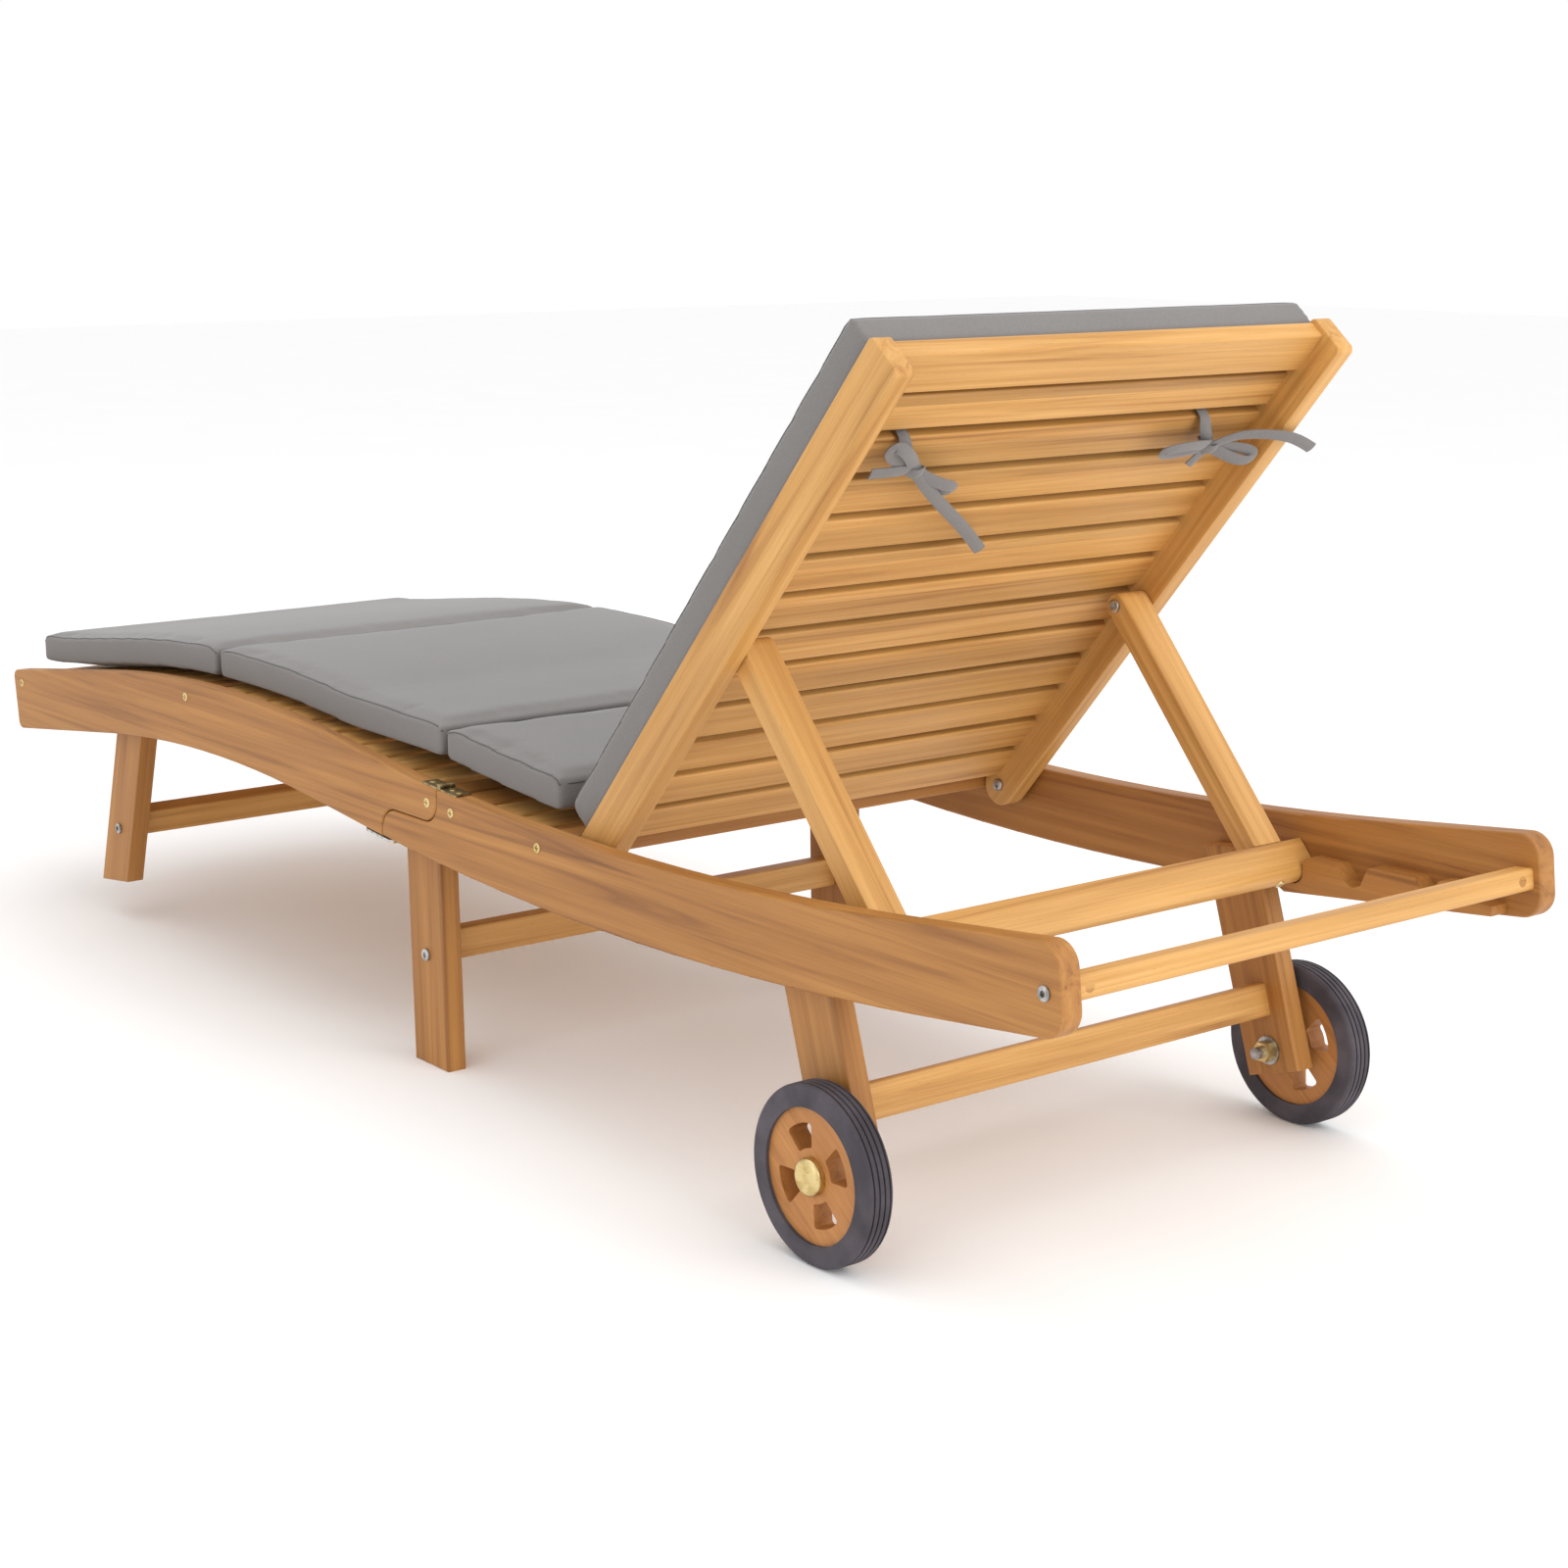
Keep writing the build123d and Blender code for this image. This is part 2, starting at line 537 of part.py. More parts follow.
# Humps and notches beyond the first notch: reach from the notch wall, height over its floor.
CLEAT_TEETH = (
    (0, 27), (38, 27), (52, 13), (60, 9), (70, 13), (78, 32), (132, 33),
    (140, 22), (146, 19), (154, 23), (159, 36), (172, 37), (184, 24),
)


def cleat_outline():
    """Cleat seen from the side: an open first notch for the bar and two scalloped ones behind it."""
    under = [(reach, rail_line(reach, -HALF_DEPTH + 3.0)[0]) for reach in (CLEAT_END, CLEAT_START + 12.0)]
    front = [(CLEAT_START, NOTCH_FLOOR - 4.0), (CLEAT_START + 3.0, NOTCH_FLOOR), (NOTCH_WALL, NOTCH_FLOOR)]
    teeth = [(NOTCH_WALL + across, NOTCH_FLOOR + rise) for across, rise in CLEAT_TEETH]
    tail = [(CLEAT_END, teeth[-1][1])]
    outline = Polygon(*front, *teeth, *tail, *under, align=None)
    outline = round_near(outline, front[-1], STRUT_HALF - 0.5)
    for corner in teeth:
        if outline.vertices().sort_by_distance(Vector(*corner))[0].center() == Vector(*corner):
            outline = round_near(outline, corner, NOTCH_ROUND if corner is not teeth[3] else NOTCH_ROUND + 2)
    return outline


cleat = slab(cleat_outline(), CLEAT_IN, RAIL_IN)

# ---------------------------------------------------------------- wheels and axles
axle_spot = Pos(AXLE_REACH, WHEEL_RADIUS)
sector_half = HUB_RADIUS * tan(radians(HUB_WINDOW_HALF_ANGLE))
sector = make_face(Polyline((0, 0), (HUB_RADIUS, -sector_half), (HUB_RADIUS, sector_half), (0, 0)))
sector &= Circle(HUB_WINDOW_RADIUS) - Circle(HUB_BOSS_RADIUS)
window = fillet(sector.vertices(), 3.0)
windows = [Rot(0, 0, HUB_WINDOW_TURN + quarter) * window for quarter in (0, 90, 180, 270)]
hub = slab(axle_spot * (Circle(HUB_RADIUS) - windows - Circle(AXLE_RADIUS + RUNNING)),
           WHEEL_MID - HUB_THICK / 2, WHEEL_MID + HUB_THICK / 2)

TREAD_ROUND = 5.0
GROOVE_DEPTH = 1.4
GROOVE_WIDTH = 1.8
GROOVE_COUNT = 4
tyre_section = Pos(0, (HUB_RADIUS + WHEEL_RADIUS) / 2) * Rectangle(WHEEL_WIDTH, WHEEL_RADIUS - HUB_RADIUS)
tyre_section = fillet(tyre_section.vertices().sort_by(Axis.Y)[-2:], TREAD_ROUND)
for index in range(GROOVE_COUNT):
    across = (index - (GROOVE_COUNT - 1) / 2) * (WHEEL_WIDTH - 2 * TREAD_ROUND) / (GROOVE_COUNT - 1)
    tyre_section -= Pos(across, WHEEL_RADIUS) * Rectangle(GROOVE_WIDTH, 2 * GROOVE_DEPTH)
tyre = revolve(Plane.XZ * tyre_section, Axis.X)
tyre = Pos(WHEEL_MID, -AXLE_REACH, WHEEL_RADIUS) * tyre

AXLE_WASHER_RADIUS = 14.0
AXLE_CAP_RADIUS = 17.0
AXLE_CAP_THICK = 9.0
NUT_THICK = 9.0
AXLE_TIP = LEG_IN - 20.0
hub_face = WHEEL_MID + HUB_THICK / 2
axle_bolt = slab(axle_spot * Circle(AXLE_RADIUS), AXLE_TIP, hub_face + 5.0)
axle_washer_ring = Circle(AXLE_WASHER_RADIUS) - Circle(AXLE_RADIUS)
axle_washers = [
    slab(axle_spot * axle_washer_ring, RAIL_IN, WHEEL_MID - HUB_THICK / 2 - SOFT_GAP),
    slab(axle_spot * axle_washer_ring, LEG_IN - 2.0, LEG_IN),
]
axle_nut = slab(axle_spot * (RegularPolygon(10.5, 6) - Circle(AXLE_RADIUS)), LEG_IN - 2.0 - NUT_THICK, LEG_IN - 2.0)
axle_cap = slab(axle_spot * Circle(AXLE_CAP_RADIUS), hub_face + SOFT_GAP, hub_face + AXLE_CAP_THICK)
axle_cap = fillet(axle_cap.edges().filter_by(GeomType.CIRCLE).sort_by(Axis.X)[-1], AXLE_CAP_THICK * 0.6)
axle_cap -= slab(axle_spot * Circle(AXLE_RADIUS), 0, hub_face + 5.0)

# ---------------------------------------------------------------- fold hinges
rail_top, hinge_slope = rail_line(FOLD_REACH, HALF_DEPTH)
HINGE_HEIGHT = rail_top + KNUCKLE_RADIUS + KNUCKLE_LIFT
HINGE_OUT = RAIL_OUT - 2.0
HINGE_IN = HINGE_OUT - LEAF_WIDTH
KNUCKLE_LENGTH = LEAF_WIDTH / 3
hinge_place = Pos(FOLD_REACH, HINGE_HEIGHT)


def leaf_outline(side):
    """Flat leaf seen from the side, running to the foot (-1) or the head (1) from near the pin."""
    near = KNUCKLE_RADIUS + 0.6
    middle = Pos(side * (near + LEAF_LENGTH) / 2, -HINGE_HEIGHT + rail_top + LEAF_THICK / 2)
    return hinge_place * Rot(0, 0, hinge_slope) * middle * Rectangle(LEAF_LENGTH - near, LEAF_THICK)


def leaf_tab(side):
    """Bridge from the leaf to its knuckle, seen from the side."""
    reach_out = KNUCKLE_RADIUS + 2.0
    middle = Pos(side * reach_out / 2, -KNUCKLE_RADIUS + LEAF_THICK / 2)
    return hinge_place * Rot(0, 0, hinge_slope) * middle * Rectangle(reach_out, LEAF_THICK)


def hinge_leaf(side, knuckles, bore):
    """One leaf with its knuckles, counted from the inside."""
    leaf = slab(leaf_outline(side), HINGE_IN, HINGE_OUT)
    for index in knuckles:
        low = HINGE_IN + index * KNUCKLE_LENGTH + RUNNING
        high = low + KNUCKLE_LENGTH - 2 * RUNNING
        leaf += slab(leaf_tab(side) + hinge_place * Circle(KNUCKLE_RADIUS), low, high)
    return leaf - slab(hinge_place * Circle(bore), HINGE_IN, HINGE_OUT)


leaf_foot = hinge_leaf(-1, (0, 2), PIN_RADIUS + RUNNING)
leaf_head = hinge_leaf(1, (1,), PIN_RADIUS)
hinge_pin = slab(hinge_place * Circle(PIN_RADIUS), HINGE_IN, HINGE_OUT)


def leaf_screws(side):
    """Two small screws down through a leaf into the rail."""
    screws = []
    for along in (12.0, 25.0):
        reach = FOLD_REACH + side * along
        head = hinge_place * Rot(0, 0, hinge_slope) * Pos(side * along, -HINGE_HEIGHT + rail_top + LEAF_THICK - 0.4)
        normal = up_from(hinge_slope)
        screws.append(set_along(LEAF_SCREW, (HINGE_IN + HINGE_OUT) / 2, head.position.X, head.position.Y,
                                (0, -normal.X, normal.Y)))
    return screws


# ---------------------------------------------------------------- catches under the fold joint
CATCH_THICK = 2.5
CATCH_WIDTH = 12.0
CATCH_LENGTH = 42.0
CATCH_PIVOT_REACH = FOLD_REACH - FOLD_LAP + 10.0
CATCH_X = RAIL_OUT - 6.5
STUD_RADIUS = 2.0
under_height, under_slope = rail_line(CATCH_PIVOT_REACH, -HALF_DEPTH)
under_normal = up_from(under_slope)
catch_plane = Plane(
    origin=(CATCH_X, -CATCH_PIVOT_REACH + under_normal.X * SOFT_GAP, under_height - under_normal.Y * SOFT_GAP),
    x_dir=(0, cos(radians(under_slope)), -sin(radians(under_slope))),
    z_dir=(0, under_normal.X, -under_normal.Y),
)
catch_shape = Circle(CATCH_WIDTH / 2) + Pos(CATCH_LENGTH / 2, 0) * Rectangle(CATCH_LENGTH, CATCH_WIDTH)
catch_shape += Pos(CATCH_LENGTH, 0) * Circle(CATCH_WIDTH / 2)
KEEPER_ALONG = CATCH_LENGTH - 8.0
SLOT_BACK = 3.2               # room in the slot on the pivot's side of the keeper
SLOT_FRONT = 5.4              # and beyond it, where the keeper swings as the frame folds
slot_middle = KEEPER_ALONG + (SLOT_FRONT - SLOT_BACK) / 2
slot = Pos(slot_middle, -CATCH_WIDTH / 2) * Rectangle(SLOT_BACK + SLOT_FRONT, CATCH_WIDTH + 2 * SLOT_BACK)
catch_shape = catch_shape - slot - Circle(STUD_RADIUS + RUNNING)
catch_hook = extrude(catch_plane * catch_shape, amount=CATCH_THICK, dir=catch_plane.z_dir)


def catch_stud(along, head_radius, head_thick, gap):
    """Stud standing out of the rail's underside; its head keeps the hook on."""
    shank = extrude(Pos(along, 0, -12.0) * Circle(STUD_RADIUS), amount=12.0 + CATCH_THICK + gap)
    head = extrude(Pos(along, 0, CATCH_THICK + gap) * Circle(head_radius), amount=head_thick)
    return catch_plane * (shank + head)


catch_pivot = catch_stud(0, 4.5, 1.6, RUNNING)
catch_keeper = catch_stud(KEEPER_ALONG, STUD_RADIUS, 0.6, 0.0)

# ---------------------------------------------------------------- plugs
PLUG_RADIUS = 5.0
PLUG_LENGTH = 6.0
handle_run = run_from(handle_slope)
PLUG = Pos(0, 0, -PLUG_LENGTH) * extrude(Circle(PLUG_RADIUS), amount=PLUG_LENGTH)
handle_face = Pos(HANDLE_REACH, handle_height) * Rot(0, 0, handle_slope) * Pos(HANDLE_WIDTH / 2, 0)
handle_plug = set_along(PLUG, RAIL_IN - 15.0, handle_face.position.X, handle_face.position.Y,
                        (0, -handle_run.X, handle_run.Y))

# ---------------------------------------------------------------- cushion sections and ties
def cushion_lift(reach):
    """Height of a cushion's underside above the slats, between the places where it is known."""
    for (near, near_lift), (far, far_lift) in zip(CUSHION_LIFTS, CUSHION_LIFTS[1:]):
        if near <= reach <= far:
            return near_lift + (far_lift - near_lift) * (reach - near) / (far - near)
    return 0.0


def soft_strip(start, end):
    """Cushion section that follows the slats, its corners rounded from the side."""
    count = max(4, round((end - start) / CUSHION_STEP))
    reaches = [start + (end - start) * index / count for index in range(count + 1)]
    under = [(reach, rail_line(reach, CUSHION_UNDER)[0] + cushion_lift(reach)) for reach in reaches]
    over = [(reach, height + CUSHION_THICK) for reach, height in under]
    outline = make_face([*Spline(*under).edges(), *Spline(*over).edges(),
                         Line(under[0], over[0]), Line(under[-1], over[-1])])
    for corner in (under[0], under[-1], over[0], over[-1]):
        outline = round_near(outline, corner, CUSHION_SIDE_ROUND)
    return slab(outline, -CUSHION_HALF_WIDTH, CUSHION_HALF_WIDTH)


cushion_foot = soft_strip(-LENGTH / 2 + 18.0, CUSHION_KNEE_REACH - CUSHION_SEAM / 2)
cushion_knee = soft_strip(CUSHION_KNEE_REACH + CUSHION_SEAM / 2, CUSHION_SEAT_REACH - CUSHION_SEAM / 2)
cushion_seat = soft_strip(CUSHION_SEAT_REACH + CUSHION_SEAM / 2, SEAT_BAR_REACH - 10.0)
back_cushion_outline = block(4.0, STILE_LENGTH - 9.5, STILE_HALF + SOFT_GAP, STILE_HALF + SOFT_GAP + BACK_CUSHION_THICK)
cushion_back = back_slab(rounded(back_cushion_outline, CUSHION_SIDE_ROUND), -CUSHION_HALF_WIDTH, CUSHION_HALF_WIDTH)

# Each tie leaves the cushion's back above the second slat from the top and is knotted behind it.
TIE_X = 178.0
TIE_DROP = 13.0               # slat's top edge to the knot
TIE_WIDTH = 9.0
TIE_THICK = 1.6
TIE_GAP = 0.6                 # strap to the slat
TIE_KNOT = 14.0
TIE_BOW_WIDTH = 60.0
TIE_TAIL = 70.0
tied_slat_top = BACK_SLAT_START + (BACK_SLAT_COUNT - 1) * (BACK_SLAT_WIDTH + back_slat_gap) - back_slat_gap


def tie():
    """Strap round one slat of the backrest, with a knot, a flat bow and a hanging tail."""
    strap_rear = BACK_SLAT_REAR - TIE_GAP
    knot_top = tied_slat_top - TIE_DROP
    through = block(tied_slat_top + TIE_GAP, tied_slat_top + TIE_GAP + TIE_THICK, strap_rear - TIE_THICK, STILE_HALF)
    down = block(knot_top, tied_slat_top + TIE_GAP + TIE_THICK, strap_rear - TIE_THICK, strap_rear)
    knot = block(knot_top - TIE_KNOT, knot_top, strap_rear - TIE_KNOT, strap_rear)
    bow = block(knot_top - TIE_KNOT + TIE_THICK, knot_top - TIE_THICK,
                strap_rear - TIE_KNOT, strap_rear - TIE_KNOT + 2 * TIE_THICK)
    tail = block(knot_top - TIE_TAIL, knot_top - TIE_KNOT, strap_rear - TIE_KNOT, strap_rear - TIE_KNOT + TIE_THICK)
    body = back_slab(through + down, TIE_X - TIE_WIDTH / 2, TIE_X + TIE_WIDTH / 2)
    body += back_slab(knot, TIE_X - TIE_KNOT / 2, TIE_X + TIE_KNOT / 2)
    body += back_slab(bow, TIE_X - TIE_BOW_WIDTH / 2, TIE_X + TIE_BOW_WIDTH / 2)
    body += back_slab(tail, TIE_X - TIE_WIDTH / 2, TIE_X + TIE_WIDTH / 2)
    return body


# ---------------------------------------------------------------- screws in the rails
def bar_screws(bars):
    """Screws through both rails into the ends of crossbars."""
    screws = []
    for reach, width in bars:
        height = rail_line(reach, (CROSSBAR_UNDER + SLAT_TOP) / 2)[0]
        screws += both_sides(set_along(WOOD_SCREW, RAIL_OUT - HEAD_SINK, reach, height, (1, 0, 0)))
    return screws


foot_bar_screws = bar_screws(FOOT_BARS)
seat_bar_screws = bar_screws(SEAT_BARS)
leaves_foot = group(*both_sides(leaf_foot))
leaves_head = group(*both_sides(leaf_head))
wood_screws_foot = group(
    *foot_bar_screws, *leg_screws("front", 20.0),
    *[item for screw in leaf_screws(-1) for item in both_sides(screw)], *both_sides(catch_keeper),
)
wood_screws_seat = group(
    *seat_bar_screws, *leg_screws("mid", 22.0), *leg_screws("rear", 20.0),
    *[item for screw in leaf_screws(1) for item in both_sides(screw)], *both_sides(catch_pivot),
)
frame_bolts_foot = group(*stretcher_bolts("front"))
frame_bolts_seat = group(*stretcher_bolts("mid"), *stretcher_bolts("rear"), *handle_bolts)
axle_bolts = group(*both_sides(axle_bolt))
back_pivot_bolts = group(*both_sides(back_pivot_bolt))
prop_bolts = group(*both_sides(prop_bolt))
prop_bar_screws = group(*both_sides(bar_screw))
handle_plugs = group(*both_sides(handle_plug))


# ---------------------------------------------------------------- every node
PARTS = {}


def add_pair(name, solid, *hardware):
    """Left (+X) and right (-X) nodes of a piece, bored for its fasteners."""
    for side, piece in zip(("left", "right"), both_sides(solid)):
        PARTS[f"{name}_{side}"] = bored(piece, *hardware) if hardware else piece


add_pair("rail_foot", rail_foot, wood_screws_foot, leaves_foot)
add_pair("rail_head", rail_head, wood_screws_seat, frame_bolts_seat, back_pivot_bolts, leaves_head)
add_pair("leg_front", leg_front, wood_screws_foot, frame_bolts_foot)
add_pair("leg_mid", leg_mid, wood_screws_seat, frame_bolts_seat)
add_pair("leg_rear", leg_rear, wood_screws_seat, frame_bolts_seat, axle_bolts)
PARTS["stretcher_front"] = bored(stretcher("front"), frame_bolts_foot)
PARTS["stretcher_mid"] = bored(stretcher("mid"), frame_bolts_seat)
PARTS["stretcher_rear"] = bored(stretcher("rear"), frame_bolts_seat)
PARTS["handle_bar"] = bored(handle_bar, frame_bolts_seat, handle_plugs)
add_pair("cleat", cleat)
add_pair("ledger_foot", ledger_foot)
add_pair("ledger_seat", ledger_seat)
PARTS["crossbars_foot"] = group(*[bored(bar, wood_screws_foot) for bar in crossbars_foot])
PARTS["crossbars_seat"] = group(*[bored(bar, wood_screws_seat) for bar in crossbars_seat])
PARTS["slats_foot"] = group(*slats_lower, *slats_knee)
PARTS["slats_seat"] = group(*slats_seat)
add_pair("stile", stile, prop_bolts)
PARTS["top_rail"] = top_rail
PARTS["slats_back"] = group(*slats_back)
add_pair("strut", strut, prop_bar_screws)
PARTS["prop_bar"] = bored(prop_bar, prop_bar_screws)
add_pair("wheel_hub", hub)
add_pair("tyre", tyre)
PARTS["axle_bolts"] = axle_bolts
PARTS["axle_nuts"] = group(*both_sides(axle_nut))
PARTS["axle_caps"] = group(*both_sides(axle_cap))
PARTS["washers_seat"] = group(
    *[item for washer in (*axle_washers, back_pivot_washer) for item in both_sides(washer)]
)
PARTS["back_pivot_bolts"] = back_pivot_bolts
PARTS["prop_bolts"] = prop_bolts
PARTS["prop_washers"] = group(*both_sides(prop_washer))
PARTS["prop_bar_screws"] = prop_bar_screws
PARTS["hinge_leaves_foot"] = group(*[bored(leaf, wood_screws_foot) for leaf in leaves_foot.solids()])
PARTS["hinge_leaves_head"] = group(*[bored(leaf, wood_screws_seat) for leaf in leaves_head.solids()])
PARTS["hinge_pins"] = group(*both_sides(hinge_pin))
add_pair("catch_hook", catch_hook)
PARTS["wood_screws_foot"] = wood_screws_foot
PARTS["wood_screws_seat"] = wood_screws_seat
PARTS["frame_bolts_foot"] = frame_bolts_foot
PARTS["frame_bolts_seat"] = frame_bolts_seat
PARTS["handle_plugs"] = handle_plugs
PARTS["cushion_foot"] = cushion_foot
PARTS["cushion_knee"] = cushion_knee
PARTS["cushion_seat"] = cushion_seat
PARTS["cushion_back"] = cushion_back
add_pair("tie", tie())

os.makedirs("parts", exist_ok=True)
for name, shape in PARTS.items():
    export_step(shape, f"parts/{name}.step")

print(f"{len(PARTS)} nodes")
print(f"fold hinge at reach {FOLD_REACH:.3f}, height {HINGE_HEIGHT:.3f}")
print(f"prop hinge at reach {prop_reach:.3f}, height {prop_height:.3f}")
print(f"catch hinge at reach {CATCH_PIVOT_REACH:.3f}, height {under_height:.3f}, slope {under_slope:.3f}, x {CATCH_X}")
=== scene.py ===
"""Looks of a timber reclining sun lounger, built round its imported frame.

The frame, legs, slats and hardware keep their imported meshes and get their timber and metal
finishes here.  The cushions, their seams, the cloth ties and the prop bar are modelled here.
Everything is in metres: +X across, +Y towards the foot end, +Z up, ground at zero.
"""
import logging
import math
from dataclasses import dataclass, field
from enum import Enum
from functools import partial

import bpy
import numpy as np
from mathutils import Euler, Matrix, Vector
from mathutils.bvhtree import BVHTree


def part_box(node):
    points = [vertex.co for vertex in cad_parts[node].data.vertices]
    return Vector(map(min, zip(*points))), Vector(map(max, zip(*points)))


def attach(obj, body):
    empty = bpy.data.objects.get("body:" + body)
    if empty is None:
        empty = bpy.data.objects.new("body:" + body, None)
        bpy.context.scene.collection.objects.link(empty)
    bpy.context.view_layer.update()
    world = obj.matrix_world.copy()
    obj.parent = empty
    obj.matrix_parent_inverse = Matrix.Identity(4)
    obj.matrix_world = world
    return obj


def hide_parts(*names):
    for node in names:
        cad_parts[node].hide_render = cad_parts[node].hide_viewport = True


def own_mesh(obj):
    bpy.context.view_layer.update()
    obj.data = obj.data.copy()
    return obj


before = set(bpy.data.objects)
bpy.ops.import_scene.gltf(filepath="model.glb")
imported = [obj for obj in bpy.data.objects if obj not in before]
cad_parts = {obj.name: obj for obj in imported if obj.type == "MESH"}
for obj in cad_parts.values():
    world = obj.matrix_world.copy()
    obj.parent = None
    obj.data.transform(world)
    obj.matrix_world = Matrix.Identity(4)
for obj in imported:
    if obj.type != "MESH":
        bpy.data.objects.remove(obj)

LOG = logging.getLogger("lounger")
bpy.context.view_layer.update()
MM = 0.001
BACK_ANGLE = math.radians(49.0)
PROP_ANGLE = math.radians(49.3)
HINGE_REACH = 0.303
HINGE_HEIGHT = 0.278


# ---------------------------------------------------------------------------------- helpers
def linear(hex_colour: str) -> tuple[float, float, float, float]:
    """Turns an sRGB hex colour into linear values.

    Args:
        hex_colour: colour, six hex digits.

    Returns:
        Linear red, green, blue and an alpha of one.
    """
    parts = [int(hex_colour[i:i + 2], 16) / 255 for i in (0, 2, 4)]
    values = [c / 12.92 if c <= 0.04045 else ((c + 0.055) / 1.055) ** 2.4 for c in parts]
    return (*values, 1.0)


def add_node(tree: bpy.types.NodeTree, kind: str, values: dict | None = None,
             links: dict | None = None) -> bpy.types.Node:
    """Adds one shader node with its settings and links.

    Args:
        tree: node tree to add to.
        kind: Blender's name of the node type.
        values: socket or attribute names and their values.
        links: input sockets and the output sockets that feed them.

    Returns:
        The new node.
    """
    node = tree.nodes.new(kind)
    for name, value in (values or {}).items():
        if isinstance(name, int) or name in node.inputs:
            node.inputs[name].default_value = value
        else:
            setattr(node, name, value)
    for name, source in (links or {}).items():
        tree.links.new(source, node.inputs[name])
    return node


def begin_material(name: str) -> tuple:
    """Starts a node material.

    Args:
        name: material name.

    Returns:
        The material, its node adder, its shader node and its object coordinates.
    """
    material = bpy.data.materials.new(name)
    material.use_nodes = True
    node = partial(add_node, material.node_tree)
    shader = material.node_tree.nodes["Principled BSDF"]
    return material, node, shader, node("ShaderNodeTexCoord").outputs["Object"]


def set_ramp(node: bpy.types.Node, stops: list[tuple[float, tuple]]) -> None:
    """Gives a colour ramp its stops.

    Args:
        node: the ramp node.
        stops: place and linear colour of each stop, in order.
    """
    ramp = node.color_ramp
    while len(ramp.elements) < len(stops):
        ramp.elements.new(1.0)
    for element, (place, colour) in zip(ramp.elements, stops):
        element.position = place
        element.color = colour


def clear_selection() -> None:
    """Deselects everything and leaves edit mode."""
    if bpy.context.object and bpy.context.object.mode != "OBJECT":
        bpy.ops.object.mode_set(mode="OBJECT")
    bpy.ops.object.select_all(action="DESELECT")


def activate(piece: bpy.types.Object) -> None:
    """Makes one object the only selected and active one."""
    clear_selection()
    piece.select_set(True)
    bpy.context.view_layer.objects.active = piece


def settle(piece: bpy.types.Object) -> None:
    """Moves an object's place, turn and scale into its mesh."""
    activate(piece)
    bpy.ops.object.transform_apply(location=True, rotation=True, scale=True)


def outward(piece: bpy.types.Object) -> None:
    """Points every face of a closed mesh outwards."""
    activate(piece)
    bpy.ops.object.mode_set(mode="EDIT")
    bpy.ops.mesh.select_all(action="SELECT")
    bpy.ops.mesh.normals_make_consistent(inside=False)
    bpy.ops.object.mode_set(mode="OBJECT")


def apply_modifiers(piece: bpy.types.Object) -> None:
    """Applies an object's modifiers in order."""
    activate(piece)
    for modifier in list(piece.modifiers):
        bpy.ops.object.modifier_apply(modifier=modifier.name)


def on_back(x: float, along: float, front: float) -> Vector:
    """Point given on the backrest.

    Args:
        x: width across the lounger.
        along: distance up the stiles from the hinge line.
        front: distance in front of the stiles' centre line.

    Returns:
        The point at rest.
    """
    reach = HINGE_REACH + along * math.cos(BACK_ANGLE) - front * math.sin(BACK_ANGLE)
    height = HINGE_HEIGHT + along * math.sin(BACK_ANGLE) + front * math.cos(BACK_ANGLE)
    return Vector((x, -reach, height))


# ---------------------------------------------------------------------------------- finishes
class Grain(Enum):
    """Direction that a piece's timber grain runs in, at rest."""

    ACROSS = (1.0, 0.0, 0.0)
    ALONG = (0.0, 1.0, 0.0)
    FRONT_LEG = (0.0, -0.306, 0.952)
    MID_LEG = (0.0, 0.026, 1.0)
    REAR_LEG = (0.0, 0.302, 0.953)
    STILE = (0.0, -0.656, 0.755)
    STRUT = (0.0, 0.652, 0.758)
    WHEEL = (0.0, 0.8, 0.6)


